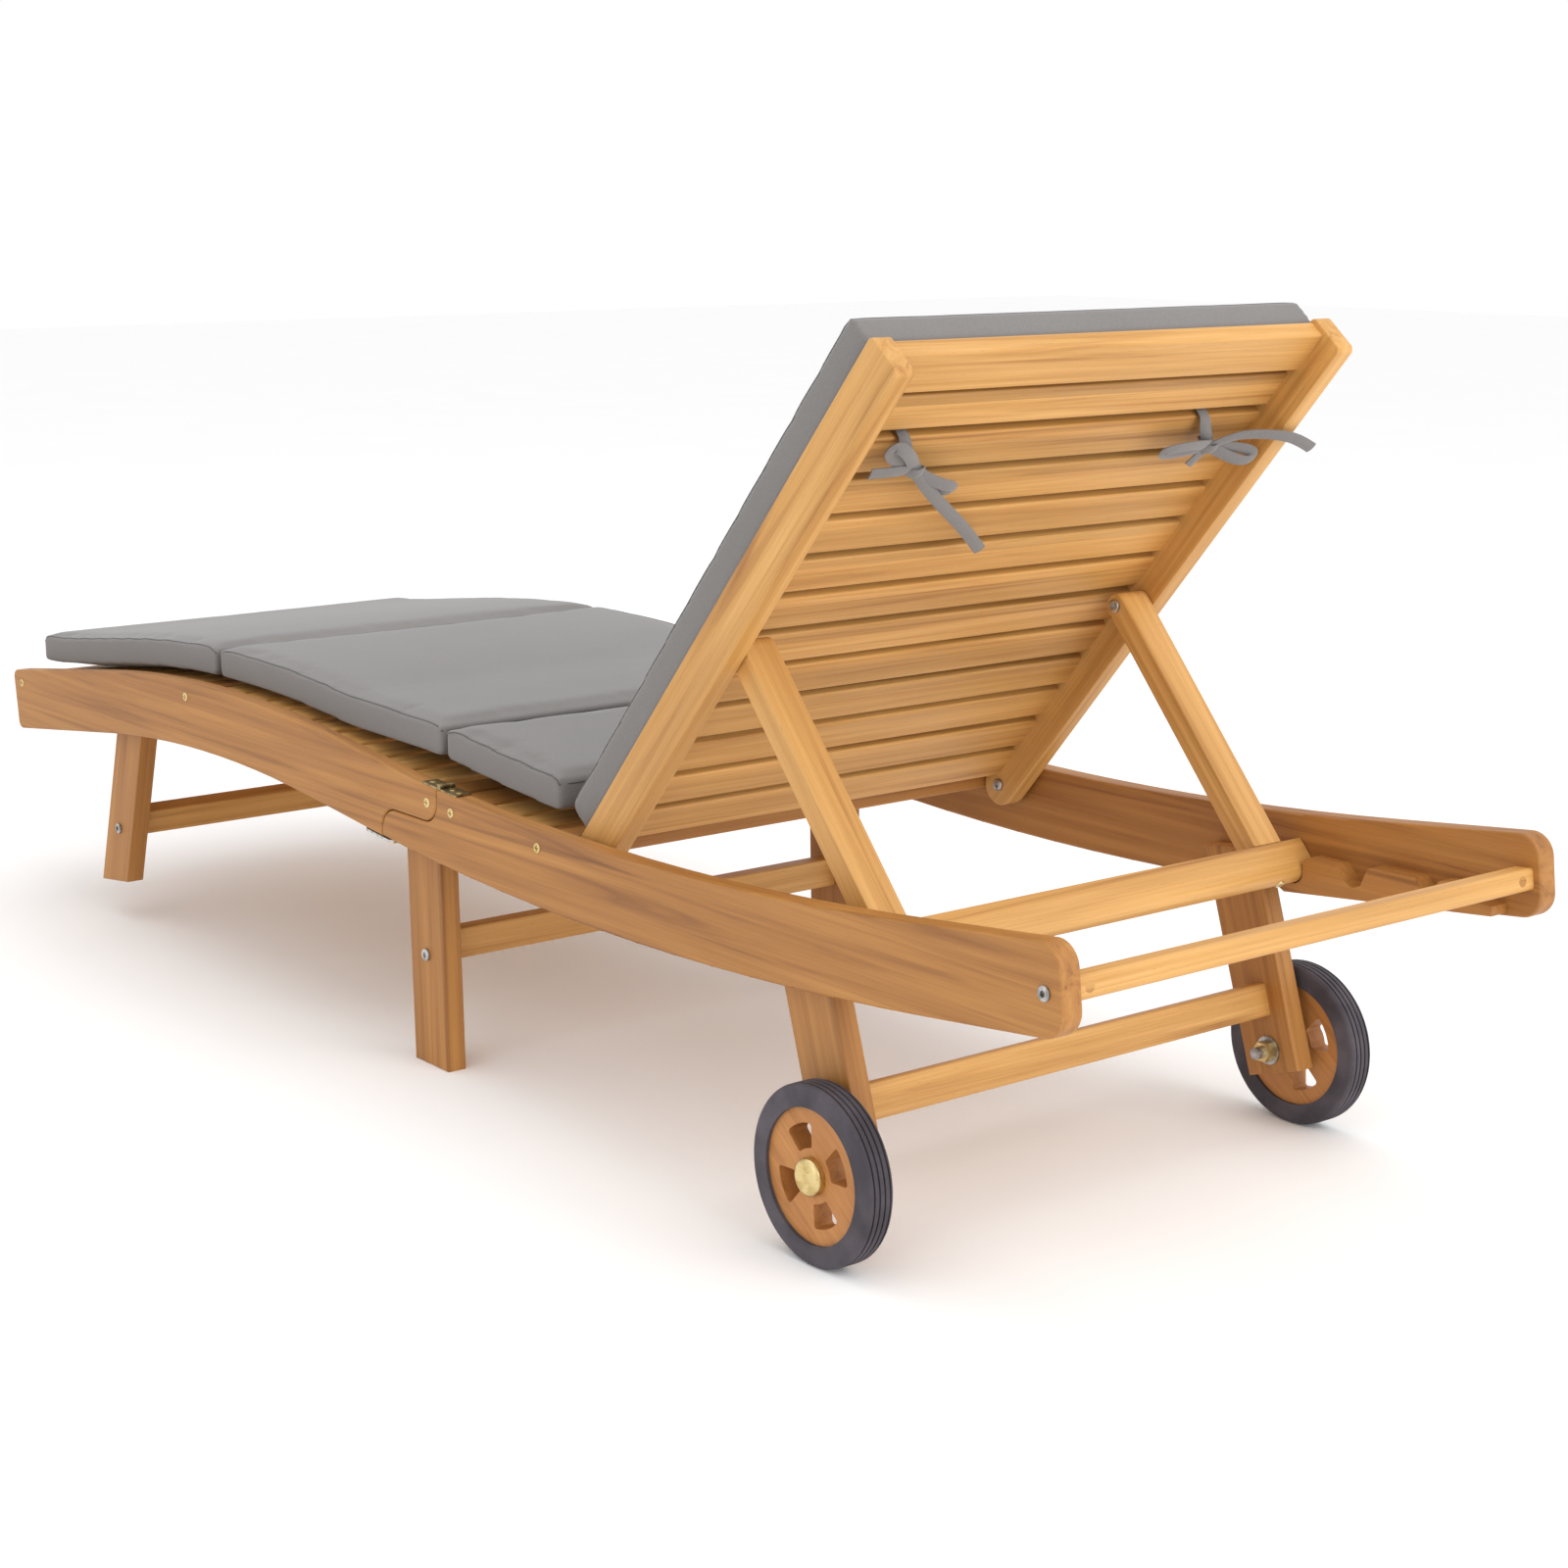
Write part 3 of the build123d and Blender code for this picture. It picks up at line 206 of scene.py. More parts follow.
@dataclass(frozen=True)
class OiledTimber:
    """Oiled tropical hardwood, planed and sanded.

    Planed boards show long wavering growth bands about 12 mm wide, fine fibres and short dark
    pores; the oil leaves a soft, low gloss.
    """

    light: str = "D9A264"
    mid: str = "BE8244"
    dark: str = "8F5526"
    band_width: float = 15 * MM
    band_length: float = 620 * MM
    fibre_width: float = 1.4 * MM     # real fibres are finer; drawn wide enough to show
    fibre_length: float = 110 * MM
    pore_width: float = 0.9 * MM
    pore_length: float = 9 * MM
    tone_width: float = 90 * MM       # slow change of tone across a board
    tone_length: float = 700 * MM
    roughness: float = 0.46

    def build(self, name: str, grain: Grain, seed: float, board_axis: Grain | None = None,
              board_pitch: float = 0.05) -> bpy.types.Material:
        """Makes the material for one piece.

        Args:
            name: material name.
            grain: direction of the grain.
            seed: shifts the pattern so that no two pieces match.
            board_axis: direction in which separate boards follow each other in a group.
            board_pitch: distance between those boards.

        Returns:
            The finished material.
        """
        material, node, shader, place = begin_material(name)
        link = material.node_tree.links.new
        turn = Vector(grain.value).rotation_difference(Vector((1, 0, 0))).to_euler()
        shift = (seed, seed * 0.37, seed * 0.71)
        turned = node("ShaderNodeMapping", {"Rotation": turn, "Location": shift}, {"Vector": place})
        vector = turned.outputs["Vector"]
        board = None
        if board_axis is not None:
            dot = node("ShaderNodeVectorMath", {"operation": "DOT_PRODUCT", 1: board_axis.value},
                       {0: place}).outputs["Value"]
            ratio = node("ShaderNodeMath", {"operation": "DIVIDE", 1: board_pitch}, {0: dot})
            index = node("ShaderNodeMath", {"operation": "FLOOR"}, {0: ratio.outputs[0]})
            board = node("ShaderNodeTexWhiteNoise", {"noise_dimensions": "1D"}, {"W": index.outputs[0]})
            shifted = node("ShaderNodeVectorMath", {"operation": "MULTIPLY_ADD", 1: (3.0, 1.0, 2.0)},
                           {0: board.outputs["Color"], 2: vector})
            vector = shifted.outputs["Vector"]

        def streaks(length: float, width: float, detail: float, distortion: float) -> bpy.types.NodeSocket:
            """Noise drawn out along the grain, one feature length by one width."""
            scaled = node("ShaderNodeMapping", {"Scale": (1 / length, 1 / width, 1 / width)},
                          {"Vector": vector})
            settings = {"Scale": 1.0, "Detail": detail, "Roughness": 0.55, "Distortion": distortion}
            return node("ShaderNodeTexNoise", settings, {"Vector": scaled.outputs["Vector"]}).outputs["Fac"]

        def tinted(noise: bpy.types.NodeSocket, stops: list[tuple[float, tuple]]) -> bpy.types.NodeSocket:
            """Colours a noise by the stops of a ramp."""
            ramp = node("ShaderNodeValToRGB", links={"Fac": noise})
            set_ramp(ramp, stops)
            return ramp.outputs["Color"]

        white = (1, 1, 1, 1)
        bands = tinted(streaks(self.band_length, self.band_width, 5, 0.9),
                       [(0.26, linear(self.dark)), (0.44, linear(self.mid)), (0.68, linear(self.light))])
        fibres = tinted(streaks(self.fibre_length, self.fibre_width, 3, 0.2),
                        [(0.30, (0.84, 0.79, 0.74, 1)), (0.60, white)])
        pores = tinted(streaks(self.pore_length, self.pore_width, 2, 0.0),
                       [(0.24, (0.55, 0.44, 0.34, 1)), (0.34, white)])
        tone = tinted(streaks(self.tone_length, self.tone_width, 2, 0.5),
                      [(0.32, (0.86, 0.81, 0.76, 1)), (0.68, (1.06, 1.05, 1.03, 1))])
        colour = bands
        for factor, layer in ((0.7, fibres), (0.5, pores), (1.0, tone)):
            mixed = node("ShaderNodeMix", {"data_type": "RGBA", "blend_type": "MULTIPLY", 0: factor},
                         {6: colour, 7: layer})
            colour = mixed.outputs[2]
        if board is not None:
            lift = node("ShaderNodeMapRange", {"To Min": 0.84, "To Max": 1.10},
                        {"Value": board.outputs["Value"]})
            shade = node("ShaderNodeVectorMath", {"operation": "SCALE"},
                         {0: colour, "Scale": lift.outputs["Result"]})
            colour = shade.outputs["Vector"]
        rough = node("ShaderNodeMapRange",
                     {"To Min": self.roughness + 0.12, "To Max": self.roughness - 0.06}, {"Value": bands})
        height = node("ShaderNodeMath", {"operation": "MULTIPLY"}, {0: pores, 1: fibres})
        bump = node("ShaderNodeBump", {"Strength": 0.12, "Distance": 0.3 * MM},
                    {"Height": height.outputs[0]})
        link(colour, shader.inputs["Base Color"])
        link(rough.outputs["Result"], shader.inputs["Roughness"])
        link(bump.outputs["Normal"], shader.inputs["Normal"])
        return material


@dataclass(frozen=True)
class WovenPolyester:
    """Plain-woven outdoor polyester, dyed grey and filled soft.

    The weave reads as a faint even grain with a matt face; large soft tone changes are painted shade
    of the swells where the fill pushes at the cloth, mixed into the colour over the noise that bumps it.
    """

    colour: str = "7B7775"
    # darker tone used for painted shade on the cloth's soft swells
    shade: str = "73706E"
    thread_pitch: float = 1.6 * MM    # real threads are about 0.5 mm; drawn coarser to show
    roughness: float = 0.86

    def build(self, name: str, turn: tuple[float, float, float] = (0.0, 0.0, 0.0)) -> bpy.types.Material:
        """Makes the cloth.

        Args:
            name: material name.
            turn: rotation that lays the weave along the piece.

        Returns:
            The finished material.
        """
        material, node, shader, place = begin_material(name)
        link = material.node_tree.links.new
        laid = node("ShaderNodeMapping", {"Rotation": turn}, {"Vector": place}).outputs["Vector"]
        threads = []
        for direction in ("X", "Y"):
            settings = {"bands_direction": direction, "Scale": math.pi / (10 * self.thread_pitch),
                        "Distortion": 0.6, "Detail": 1.0, "Detail Scale": 2.0}
            threads.append(node("ShaderNodeTexWave", settings, {"Vector": laid}).outputs["Fac"])
        weave = node("ShaderNodeMath", {"operation": "MULTIPLY"}, {0: threads[0], 1: threads[1]})
        slub = node("ShaderNodeTexNoise", {"Scale": 700.0, "Detail": 2.0}, {"Vector": laid})
        cloud = node("ShaderNodeTexNoise", {"Scale": 7.0, "Detail": 3.0, "Distortion": 0.4},
                     {"Vector": laid})
        # painted shade: the colour darkens towards the shade tone over the same soft noise that bumps the
        # swells
        base = node("ShaderNodeMix", {"data_type": "RGBA", 6: linear(self.shade), 7: linear(self.colour)},
                    {0: cloud.outputs["Fac"]})
        grain = node("ShaderNodeValToRGB", links={"Fac": slub.outputs["Fac"]})
        set_ramp(grain, [(0.35, (0.88, 0.88, 0.88, 1)), (0.65, (1.04, 1.04, 1.04, 1))])
        woven = node("ShaderNodeMix", {"data_type": "RGBA", "blend_type": "MULTIPLY", 0: 0.8},
                     {6: base.outputs[2], 7: grain.outputs["Color"]})
        fine = node("ShaderNodeBump", {"Strength": 0.20, "Distance": 0.3 * MM},
                    {"Height": weave.outputs[0]})
        soft = node("ShaderNodeBump", {"Strength": 0.15, "Distance": 2 * MM},
                    {"Height": cloud.outputs["Fac"], "Normal": fine.outputs["Normal"]})
        shader.inputs["Roughness"].default_value = self.roughness
        shader.inputs["Sheen Weight"].default_value = 0.25
        shader.inputs["Sheen Roughness"].default_value = 0.5
        link(woven.outputs[2], shader.inputs["Base Color"])
        link(soft.outputs["Normal"], shader.inputs["Normal"])
        return material


@dataclass(frozen=True)
class TurnedMetal:
    """Plated or solid metal hardware, with handling marks that vary its gloss."""

    colour: str
    stain: str
    roughness: float = 0.30
    mark_size: float = 9 * MM

    def build(self, name: str) -> bpy.types.Material:
        """Makes the metal under a name and returns it."""
        material, node, shader, place = begin_material(name)
        link = material.node_tree.links.new
        settings = {"Scale": 1 / self.mark_size, "Detail": 5.0, "Roughness": 0.6}
        marks = node("ShaderNodeTexNoise", settings, {"Vector": place}).outputs["Fac"]
        tint = node("ShaderNodeValToRGB", links={"Fac": marks})
        set_ramp(tint, [(0.38, linear(self.stain)), (0.56, linear(self.colour))])
        gloss = node("ShaderNodeMapRange",
                     {"To Min": self.roughness + 0.18, "To Max": self.roughness - 0.05}, {"Value": marks})
        bump = node("ShaderNodeBump", {"Strength": 0.12, "Distance": 0.1 * MM}, {"Height": marks})
        shader.inputs["Metallic"].default_value = 1.0
        link(tint.outputs["Color"], shader.inputs["Base Color"])
        link(gloss.outputs["Result"], shader.inputs["Roughness"])
        link(bump.outputs["Normal"], shader.inputs["Normal"])
        return material


@dataclass(frozen=True)
class MouldedRubber:
    """Dark moulded tyre rubber: matt, faintly mottled, with dust in its texture."""

    colour: str = "39343B"
    dust: str = "5A545B"
    grit: float = 1.2 * MM

    def build(self, name: str) -> bpy.types.Material:
        """Makes the rubber under a name and returns it."""
        material, node, shader, place = begin_material(name)
        link = material.node_tree.links.new
        grit = node("ShaderNodeTexNoise", {"Scale": 1 / self.grit, "Detail": 3.0}, {"Vector": place})
        cloud = node("ShaderNodeTexNoise", {"Scale": 22.0, "Detail": 4.0}, {"Vector": place})
        tint = node("ShaderNodeValToRGB", links={"Fac": cloud.outputs["Fac"]})
        set_ramp(tint, [(0.40, linear(self.colour)), (0.75, linear(self.dust))])
        bump = node("ShaderNodeBump", {"Strength": 0.25, "Distance": 0.2 * MM},
                    {"Height": grit.outputs["Fac"]})
        shader.inputs["Roughness"].default_value = 0.72
        link(tint.outputs["Color"], shader.inputs["Base Color"])
        link(bump.outputs["Normal"], shader.inputs["Normal"])
        return material


FRAME_TIMBER = OiledTimber(light="B88240", mid="A77134", dark="7E4F24")
SLAT_TIMBER = OiledTimber(light="DBAA66", mid="C99650", dark="A06C34")
WHEEL_TIMBER = OiledTimber(light="C58A4C", mid="B67B40", dark="96602F", band_length=160 * MM)
BRASS = TurnedMetal(colour="E0CB92", stain="C8AE70", roughness=0.24)
BRONZE = TurnedMetal(colour="B39C6E", stain="6B5A3E", roughness=0.30)
STEEL = TurnedMetal(colour="C3C3C4", stain="8D8A86", roughness=0.28)


# ---------------------------------------------------------------------------------- the frame
@dataclass
class Timberwork:
    """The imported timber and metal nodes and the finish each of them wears."""

    grains: dict[str, Grain] = field(default_factory=lambda: {
        "rail": Grain.ALONG,
        "leg_front": Grain.FRONT_LEG, "leg_mid": Grain.MID_LEG, "leg_rear": Grain.REAR_LEG,
        "stretcher": Grain.ACROSS, "handle": Grain.ACROSS, "cleat": Grain.ALONG, "ledger": Grain.ALONG,
        "crossbars": Grain.ACROSS, "slats": Grain.ACROSS, "stile": Grain.STILE, "top_rail": Grain.ACROSS,
        "strut": Grain.STRUT, "wheel_hub": Grain.WHEEL,
    })
    pale: tuple[str, ...] = ("slats", "top_rail", "handle", "strut", "stretcher", "stile")
    steel: tuple[str, ...] = ("axle_bolts", "washers_seat", "back_pivot_bolts", "prop_bolts",
                              "prop_washers",
                              "frame_bolts", "catch_hook")
    brass: tuple[str, ...] = ("axle_caps", "axle_nuts", "wood_screws", "prop_bar_screws")
    slat_pitch: float = 49.33 * MM
    seed_step: float = 0.83

    def timber(self, name: str) -> Grain | None:
        """Finds the grain of a node by its name; None where it isn't timber."""
        for start, grain in self.grains.items():
            if name.startswith(start):
                return grain
        return None

    def dress(self) -> None:
        """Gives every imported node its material."""
        for number, (name, node) in enumerate(sorted(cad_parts.items())):
            grain = self.timber(name)
            if grain is not None:
                finish = FRAME_TIMBER
                if name.startswith(self.pale):
                    finish = SLAT_TIMBER
                if name.startswith("wheel"):
                    finish = WHEEL_TIMBER
                boards = {"slats_back": Grain.STILE, "slats_foot": Grain.ALONG, "slats_seat": Grain.ALONG,
                          "crossbars_foot": Grain.ALONG}.get(name)
                seed = self.seed_step * (number + 1)
                material = finish.build(f"oiled_{name}", grain, seed, boards, self.slat_pitch)
            elif name.startswith("tyre"):
                material = MouldedRubber().build(f"rubber_{name}")
            elif name.startswith(self.brass):
                material = BRASS.build(f"brass_{name}")
            elif name.startswith("hinge"):
                material = BRONZE.build(f"bronze_{name}")
            elif name.startswith(self.steel):
                material = STEEL.build(f"zinc_{name}")
            elif name == "handle_plugs":
                material = SLAT_TIMBER.build("oiled_plugs", Grain.ALONG, 0.2)
            else:
                material = WovenPolyester().build(f"cloth_{name}")
            node.data.materials.clear()
            node.data.materials.append(material)
            LOG.info("dressed %s", name)


# ---------------------------------------------------------------------------------- cushions
@dataclass
class Cushion:
    """One stuffed section of the pad, with a sewn seam round its top edge."""

    node: str
    body: str
    cloth: bpy.types.Material
    thread: bpy.types.Material
    on_backrest: bool = False
    inset: float = 1.0 * MM
    voxel: float = 5.5 * MM
    pressure: float = 4.0
    rise: float = 6.0 * MM            # most that the fill may push the top panel out
    bulge: float = 2.5 * MM           # the same for the side panels
    sag: float = 0.4 * MM             # the same for the underside
    edge_hold: float = 0.22           # turn of the surface at which a sewn edge holds still
    seam_radius: float = 0.9 * MM
    seam_inset: float = 4.0 * MM      # seam to the side of the pad
    seam_depth: float = 2.0 * MM      # how far under the crown the seam is looked for
    seam_steps: int = 60
    seam_cross_steps: int = 40
    back_seam: tuple[float, float] = (8.0 * MM, 634.0 * MM)   # ends, up the stiles
    back_front: float = 60.0 * MM
    belly: float = 10.0 * MM          # height of the side panels above the underside's middle
    belly_run: float = 70.0 * MM

    def up(self) -> Vector:
        """Direction from the slats towards the person."""
        if self.on_backrest:
            return on_back(0, 0, 1) - on_back(0, 0, 0)
        return Vector((0, 0, 1))

    def blank(self) -> bpy.types.Object:
        """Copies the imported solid, pulls it in a little and remeshes it evenly."""
        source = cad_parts[self.node]
        piece = bpy.data.objects.new(f"{self.node}_pad", source.data.copy())
        bpy.context.scene.collection.objects.link(piece)
        piece.data.materials.clear()
        activate(piece)
        bpy.ops.object.mode_set(mode="EDIT")
        bpy.ops.mesh.select_all(action="SELECT")
        bpy.ops.mesh.remove_doubles(threshold=0.0001)
        bpy.ops.mesh.normals_make_consistent(inside=False)
        bpy.ops.object.mode_set(mode="OBJECT")
        remesh = piece.modifiers.new("even", "REMESH")
        remesh.mode = "VOXEL"
        remesh.voxel_size = self.voxel
        apply_modifiers(piece)
        activate(piece)
        bpy.ops.object.mode_set(mode="EDIT")
        bpy.ops.mesh.select_all(action="SELECT")
        bpy.ops.transform.shrink_fatten(value=-self.inset)
        bpy.ops.object.mode_set(mode="OBJECT")
        return piece

    def stuff(self, piece: bpy.types.Object) -> None:
        """Swells the cover with its fill by a short cloth simulation."""
        count = len(piece.data.vertices)
        before = np.empty(count * 3)
        piece.data.vertices.foreach_get("co", before)
        before = before.reshape(-1, 3)
        normals = np.empty(count * 3)
        piece.data.vertices.foreach_get("normal", normals)
        normals = normals.reshape(-1, 3)
        cloth = piece.modifiers.new("fill", "CLOTH")
        cloth.settings.quality = 5
        cloth.settings.mass = 0.3
        cloth.settings.tension_stiffness = 18
        cloth.settings.compression_stiffness = 18
        cloth.settings.bending_stiffness = 0.8
        cloth.settings.use_pressure = True
        cloth.settings.uniform_pressure_force = self.pressure
        cloth.settings.effector_weights.gravity = 0
        cloth.collision_settings.use_collision = False
        cloth.point_cache.frame_end = 20
        scene = bpy.context.scene
        for number in range(1, 21):
            scene.frame_set(number)
        activate(piece)
        bpy.ops.object.modifier_apply(modifier="fill")
        after = np.empty(count * 3)
        piece.data.vertices.foreach_get("co", after)
        move = after.reshape(-1, 3) - before
        length = np.linalg.norm(move, axis=1, keepdims=True) + 1e-9
        facing = normals @ np.array(self.up())
        limit = np.where(facing > 0.5, self.rise, self.bulge)
        limit = np.where(facing < -0.5, self.sag, limit)[:, None]
        move *= np.minimum(1.0, limit / length)
        parts = np.column_stack((facing, normals[:, 0], self.lengthwise(normals)))
        squareness = np.max(np.abs(parts), axis=1)
        move *= np.clip(1 - (1 - squareness) / self.edge_hold, 0.0, 1.0)[:, None]
        piece.data.vertices.foreach_set("co", (before + move).ravel())
        scene.frame_set(1)

    def lengthwise(self, vectors: np.ndarray) -> np.ndarray:
        """Share of each vector that lies along the pad, at a right angle to its thickness."""
        up = self.up()
        return vectors @ np.array((0.0, -up.z, up.y))

    def lift(self, piece: bpy.types.Object) -> None:
        """Raises the rims of the underside, so that the pad rests on the middle of its belly."""
        low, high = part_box(self.node)
        spots = np.array([vertex.co for vertex in piece.data.vertices])
        middle = spots[np.abs(spots[:, 0]) < 0.5 * high.x]
        stations = np.linspace(low.y + 15 * MM, high.y - 15 * MM, 24)
        near = [middle[np.abs(middle[:, 1] - y) < 9 * MM][:, 2] for y in stations]
        floor = np.interp(spots[:, 1], stations, [heights.min() for heights in near])
        top = np.interp(spots[:, 1], stations, [heights.max() for heights in near])
        to_end = np.minimum(spots[:, 1] - low.y, high.y - spots[:, 1])
        rim = np.minimum(high.x - np.abs(spots[:, 0]), to_end)
        share = 1 - np.clip(rim / self.belly_run, 0.0, 1.0)
        depth = np.clip((top - spots[:, 2]) / (top - floor), 0.0, 1.0)
        spots[:, 2] += self.belly * share * share * (3 - 2 * share) * depth
        piece.data.vertices.foreach_set("co", spots.ravel())
        piece.data.update()

    def seam(self, piece: bpy.types.Object) -> bpy.types.Object:
        """Runs a fine sewn welt round the top edge, laid on the swollen cover.

        Args:
            piece: the finished cushion.

        Returns:
            The welt as its own object.
        """
        tree = BVHTree.FromObject(piece, bpy.context.evaluated_depsgraph_get())
        low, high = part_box(self.node)
        up = self.up()
        sideways = Vector((high.x - self.seam_inset, 0, 0))
        middle = []
        for share in np.linspace(0, 1, self.seam_steps + 1):
            if self.on_backrest:
                start, end = self.back_seam
                middle.append(on_back(0, start + (end - start) * share, self.back_front))
                continue
            y = low.y + self.seam_inset + (high.y - low.y - 2 * self.seam_inset) * share
            hit = tree.ray_cast(Vector((0, y, 1.0)), Vector((0, 0, -1)))[0]
            middle.append(hit if hit is not None else Vector((0, y, high.z)))
        across = np.linspace(1, -1, self.seam_cross_steps + 1)[1:-1]
        points = [spot + sideways for spot in middle]
        points += [middle[-1] + sideways * share for share in across]
        points += [spot - sideways for spot in reversed(middle)]
        points += [middle[0] - sideways * share for share in across]
        curve = bpy.data.curves.new(f"{self.node}_welt", "CURVE")
        curve.dimensions = "3D"
        curve.bevel_depth = self.seam_radius
        curve.bevel_resolution = 1
        spline = curve.splines.new("POLY")
        spline.points.add(len(points) - 1)
        for spot, point in zip(spline.points, points):
            near = tree.find_nearest(point - up * self.seam_depth)[0]
            spot.co = (*near, 1.0)
        spline.use_cyclic_u = True
        welt = bpy.data.objects.new(f"{self.node}_welt", curve)
        bpy.context.scene.collection.objects.link(welt)
        activate(welt)
        bpy.ops.object.convert(target="MESH")
        bpy.ops.object.shade_smooth()
        return welt

    def make(self) -> tuple[bpy.types.Object, bpy.types.Object]:
        """Builds, stuffs and dresses the cushion.

        Returns:
            The cushion and its welt.
        """
        piece = self.blank()
        self.stuff(piece)
        if not self.on_backrest:
            self.lift(piece)
        smooth = piece.modifiers.new("even_out", "SMOOTH")
        smooth.factor = 0.35
        smooth.iterations = 2
        finer = piece.modifiers.new("finer", "SUBSURF")
        finer.levels = finer.render_levels = 1
        apply_modifiers(piece)
        activate(piece)
        bpy.ops.object.shade_smooth()
        welt = self.seam(piece)
        for item, cloth in ((piece, self.cloth), (welt, self.thread)):
            item.data.materials.clear()
            item.data.materials.append(cloth)
            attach(item, self.body)
        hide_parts(self.node)
        if self.node in ("cushion_knee", "cushion_seat"):
            for item in (piece, welt):
                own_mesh(item)
        LOG.info("cushion %s: %d faces", self.node, len(piece.data.polygons))
        return piece, welt


# ---------------------------------------------------------------------------------- ties
@dataclass
class Tie:
    """Cloth tape that holds the back cushion to one slat with a bow.

    Points are (x, along, front) in millimetres from the knot, x towards the lounger's middle
    for the near end of the list.
    """

    side: str
    knot_x: float
    cloth: bpy.types.Material
    loops: tuple[tuple[tuple[float, float, float], ...], ...]
    slot_lean: float = -9.0           # how far to the side the strap comes through the gap
    knot_along: float = 0.518
    knot_front: float = -0.001
    knot_middle: tuple[float, float, float] = (0, 0, -3)
    knot_radii: tuple[float, float, float] = (7.5 * MM, 6 * MM, 8 * MM)
    crease: float = 0.10              # depth of the folds over the knot, as a share of its radius
    tape_width: float = 11.5 * MM
    tape_thick: float = 1.4 * MM
    fold_height: float = 1.2 * MM     # how far the tape's middle stands above its edges

    def spot(self, point: tuple[float, float, float]) -> Vector:
        """Places a point that is given from the knot."""
        x, along, front = (value * MM for value in point)
        return on_back(self.knot_x + x, self.knot_along + along, self.knot_front + front)

    def tape(self, name: str, route: tuple[tuple[float, float, float], ...],
             width: float) -> bpy.types.Object:
        """Makes one run of tape along a smooth route.

        Args:
            name: object name.
            route: control points from the knot.
            width: tape width in metres.

        Returns:
            The tape as a closed, thickened strip.
        """
        curve = bpy.data.curves.new("route", "CURVE")
        curve.dimensions = "3D"
        curve.resolution_u = 10
        spline = curve.splines.new("NURBS")
        spline.points.add(len(route) - 1)
        for spot, point in zip(spline.points, route):
            spot.co = (*self.spot(point), 1.0)
        spline.order_u = 3
        spline.use_endpoint_u = True
        guide = bpy.data.objects.new("route", curve)
        bpy.context.scene.collection.objects.link(guide)
        line = bpy.data.meshes.new_from_object(guide)
        path = [vertex.co.copy() for vertex in line.vertices]
        bpy.data.objects.remove(guide)
        outward_back = on_back(0, 0, -1) - on_back(0, 0, 0)
        vertices, faces = [], []
        side = None
        for index, point in enumerate(path):
            tangent = (path[min(index + 1, len(path) - 1)] - path[max(index - 1, 0)]).normalized()
            across = tangent.cross(outward_back)
            if across.length < 0.25 and side is not None:
                across = side
            across.normalize()
            if side is not None:
                across = (across * 0.5 + (side if side.dot(across) > 0 else -side) * 0.5).normalized()
                if side.dot(across) < 0:
                    across = -across
            side = across
            crown = across.cross(tangent) * self.fold_height
            vertices += [point + across * width * share + crown * (1 - 4 * share * share)
                         for share in (-0.5, -0.25, 0.0, 0.25, 0.5)]
            if index:
                corner = 5 * index
                faces += [(corner + k - 5, corner + k - 4, corner + k + 1, corner + k) for k in range(4)]
        mesh = bpy.data.meshes.new(name)
        mesh.from_pydata(vertices, [], faces)
        piece = bpy.data.objects.new(name, mesh)
        bpy.context.scene.collection.objects.link(piece)
        thick = piece.modifiers.new("thick", "SOLIDIFY")
        thick.thickness = self.tape_thick
        thick.offset = 0
        apply_modifiers(piece)
        return piece

    def knot(self) -> bpy.types.Object:
        """Makes the knot as a pinched ball; make() lays the band of tape over it."""
        clear_selection()
        bpy.ops.mesh.primitive_uv_sphere_add(segments=20, ring_count=12, radius=1.0)
        piece = bpy.context.object
        piece.name = f"tie_{self.side}_knot"
        place = Matrix.Translation(self.spot(self.knot_middle))
        turn = Euler((BACK_ANGLE - math.pi / 2, 0, 0)).to_matrix().to_4x4()
        piece.matrix_world = place @ turn @ Matrix.Diagonal((*self.knot_radii, 1))
        settle(piece)
        middle = self.spot(self.knot_middle)
        for vertex in piece.data.vertices:
            offset = vertex.co - middle
            crease = 1 + self.crease * math.sin(offset.x * 1400) * math.cos(offset.z * 1100)
            vertex.co = middle + offset * crease
        return piece

    def make(self) -> bpy.types.Object:
        """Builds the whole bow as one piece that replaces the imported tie."""
        parts = [self.knot()]
        lean = self.slot_lean
        strap = ((lean, 27, 20), (lean, 26, 10), (lean, 24, 4),
                 (lean * 0.9, 18, 1), (lean * 0.5, 9, -2), (0, 0, -4))
        runs = [(f"tie_{self.side}_strap", strap, self.tape_width)]
        for number, loop in enumerate(self.loops):
            runs.append((f"tie_{self.side}_loop_{number}", loop, self.tape_width))
        band = ((-7, 3, 2), (-8, 0, -8), (-3, -1, -12), (3, 1, -12), (8, 0, -8), (7, -3, 2))
        runs.append((f"tie_{self.side}_band", band, self.tape_width * 0.8))
        for name, route, width in runs:
            parts.append(self.tape(name, route, width))
        clear_selection()
        for part in parts:
            part.select_set(True)
        bpy.context.view_layer.objects.active = parts[0]
        bpy.ops.object.join()
        piece = bpy.context.object
        piece.name = f"tie_{self.side}_bow"
        activate(piece)
        bpy.ops.object.shade_smooth_by_angle(angle=math.radians(40))
        piece.data.materials.clear()
        piece.data.materials.append(self.cloth)
        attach(piece, "backrest")
        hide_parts(f"tie_{self.side}")
        LOG.info("tie %s: %d faces", self.side, len(piece.data.polygons))
        return piece


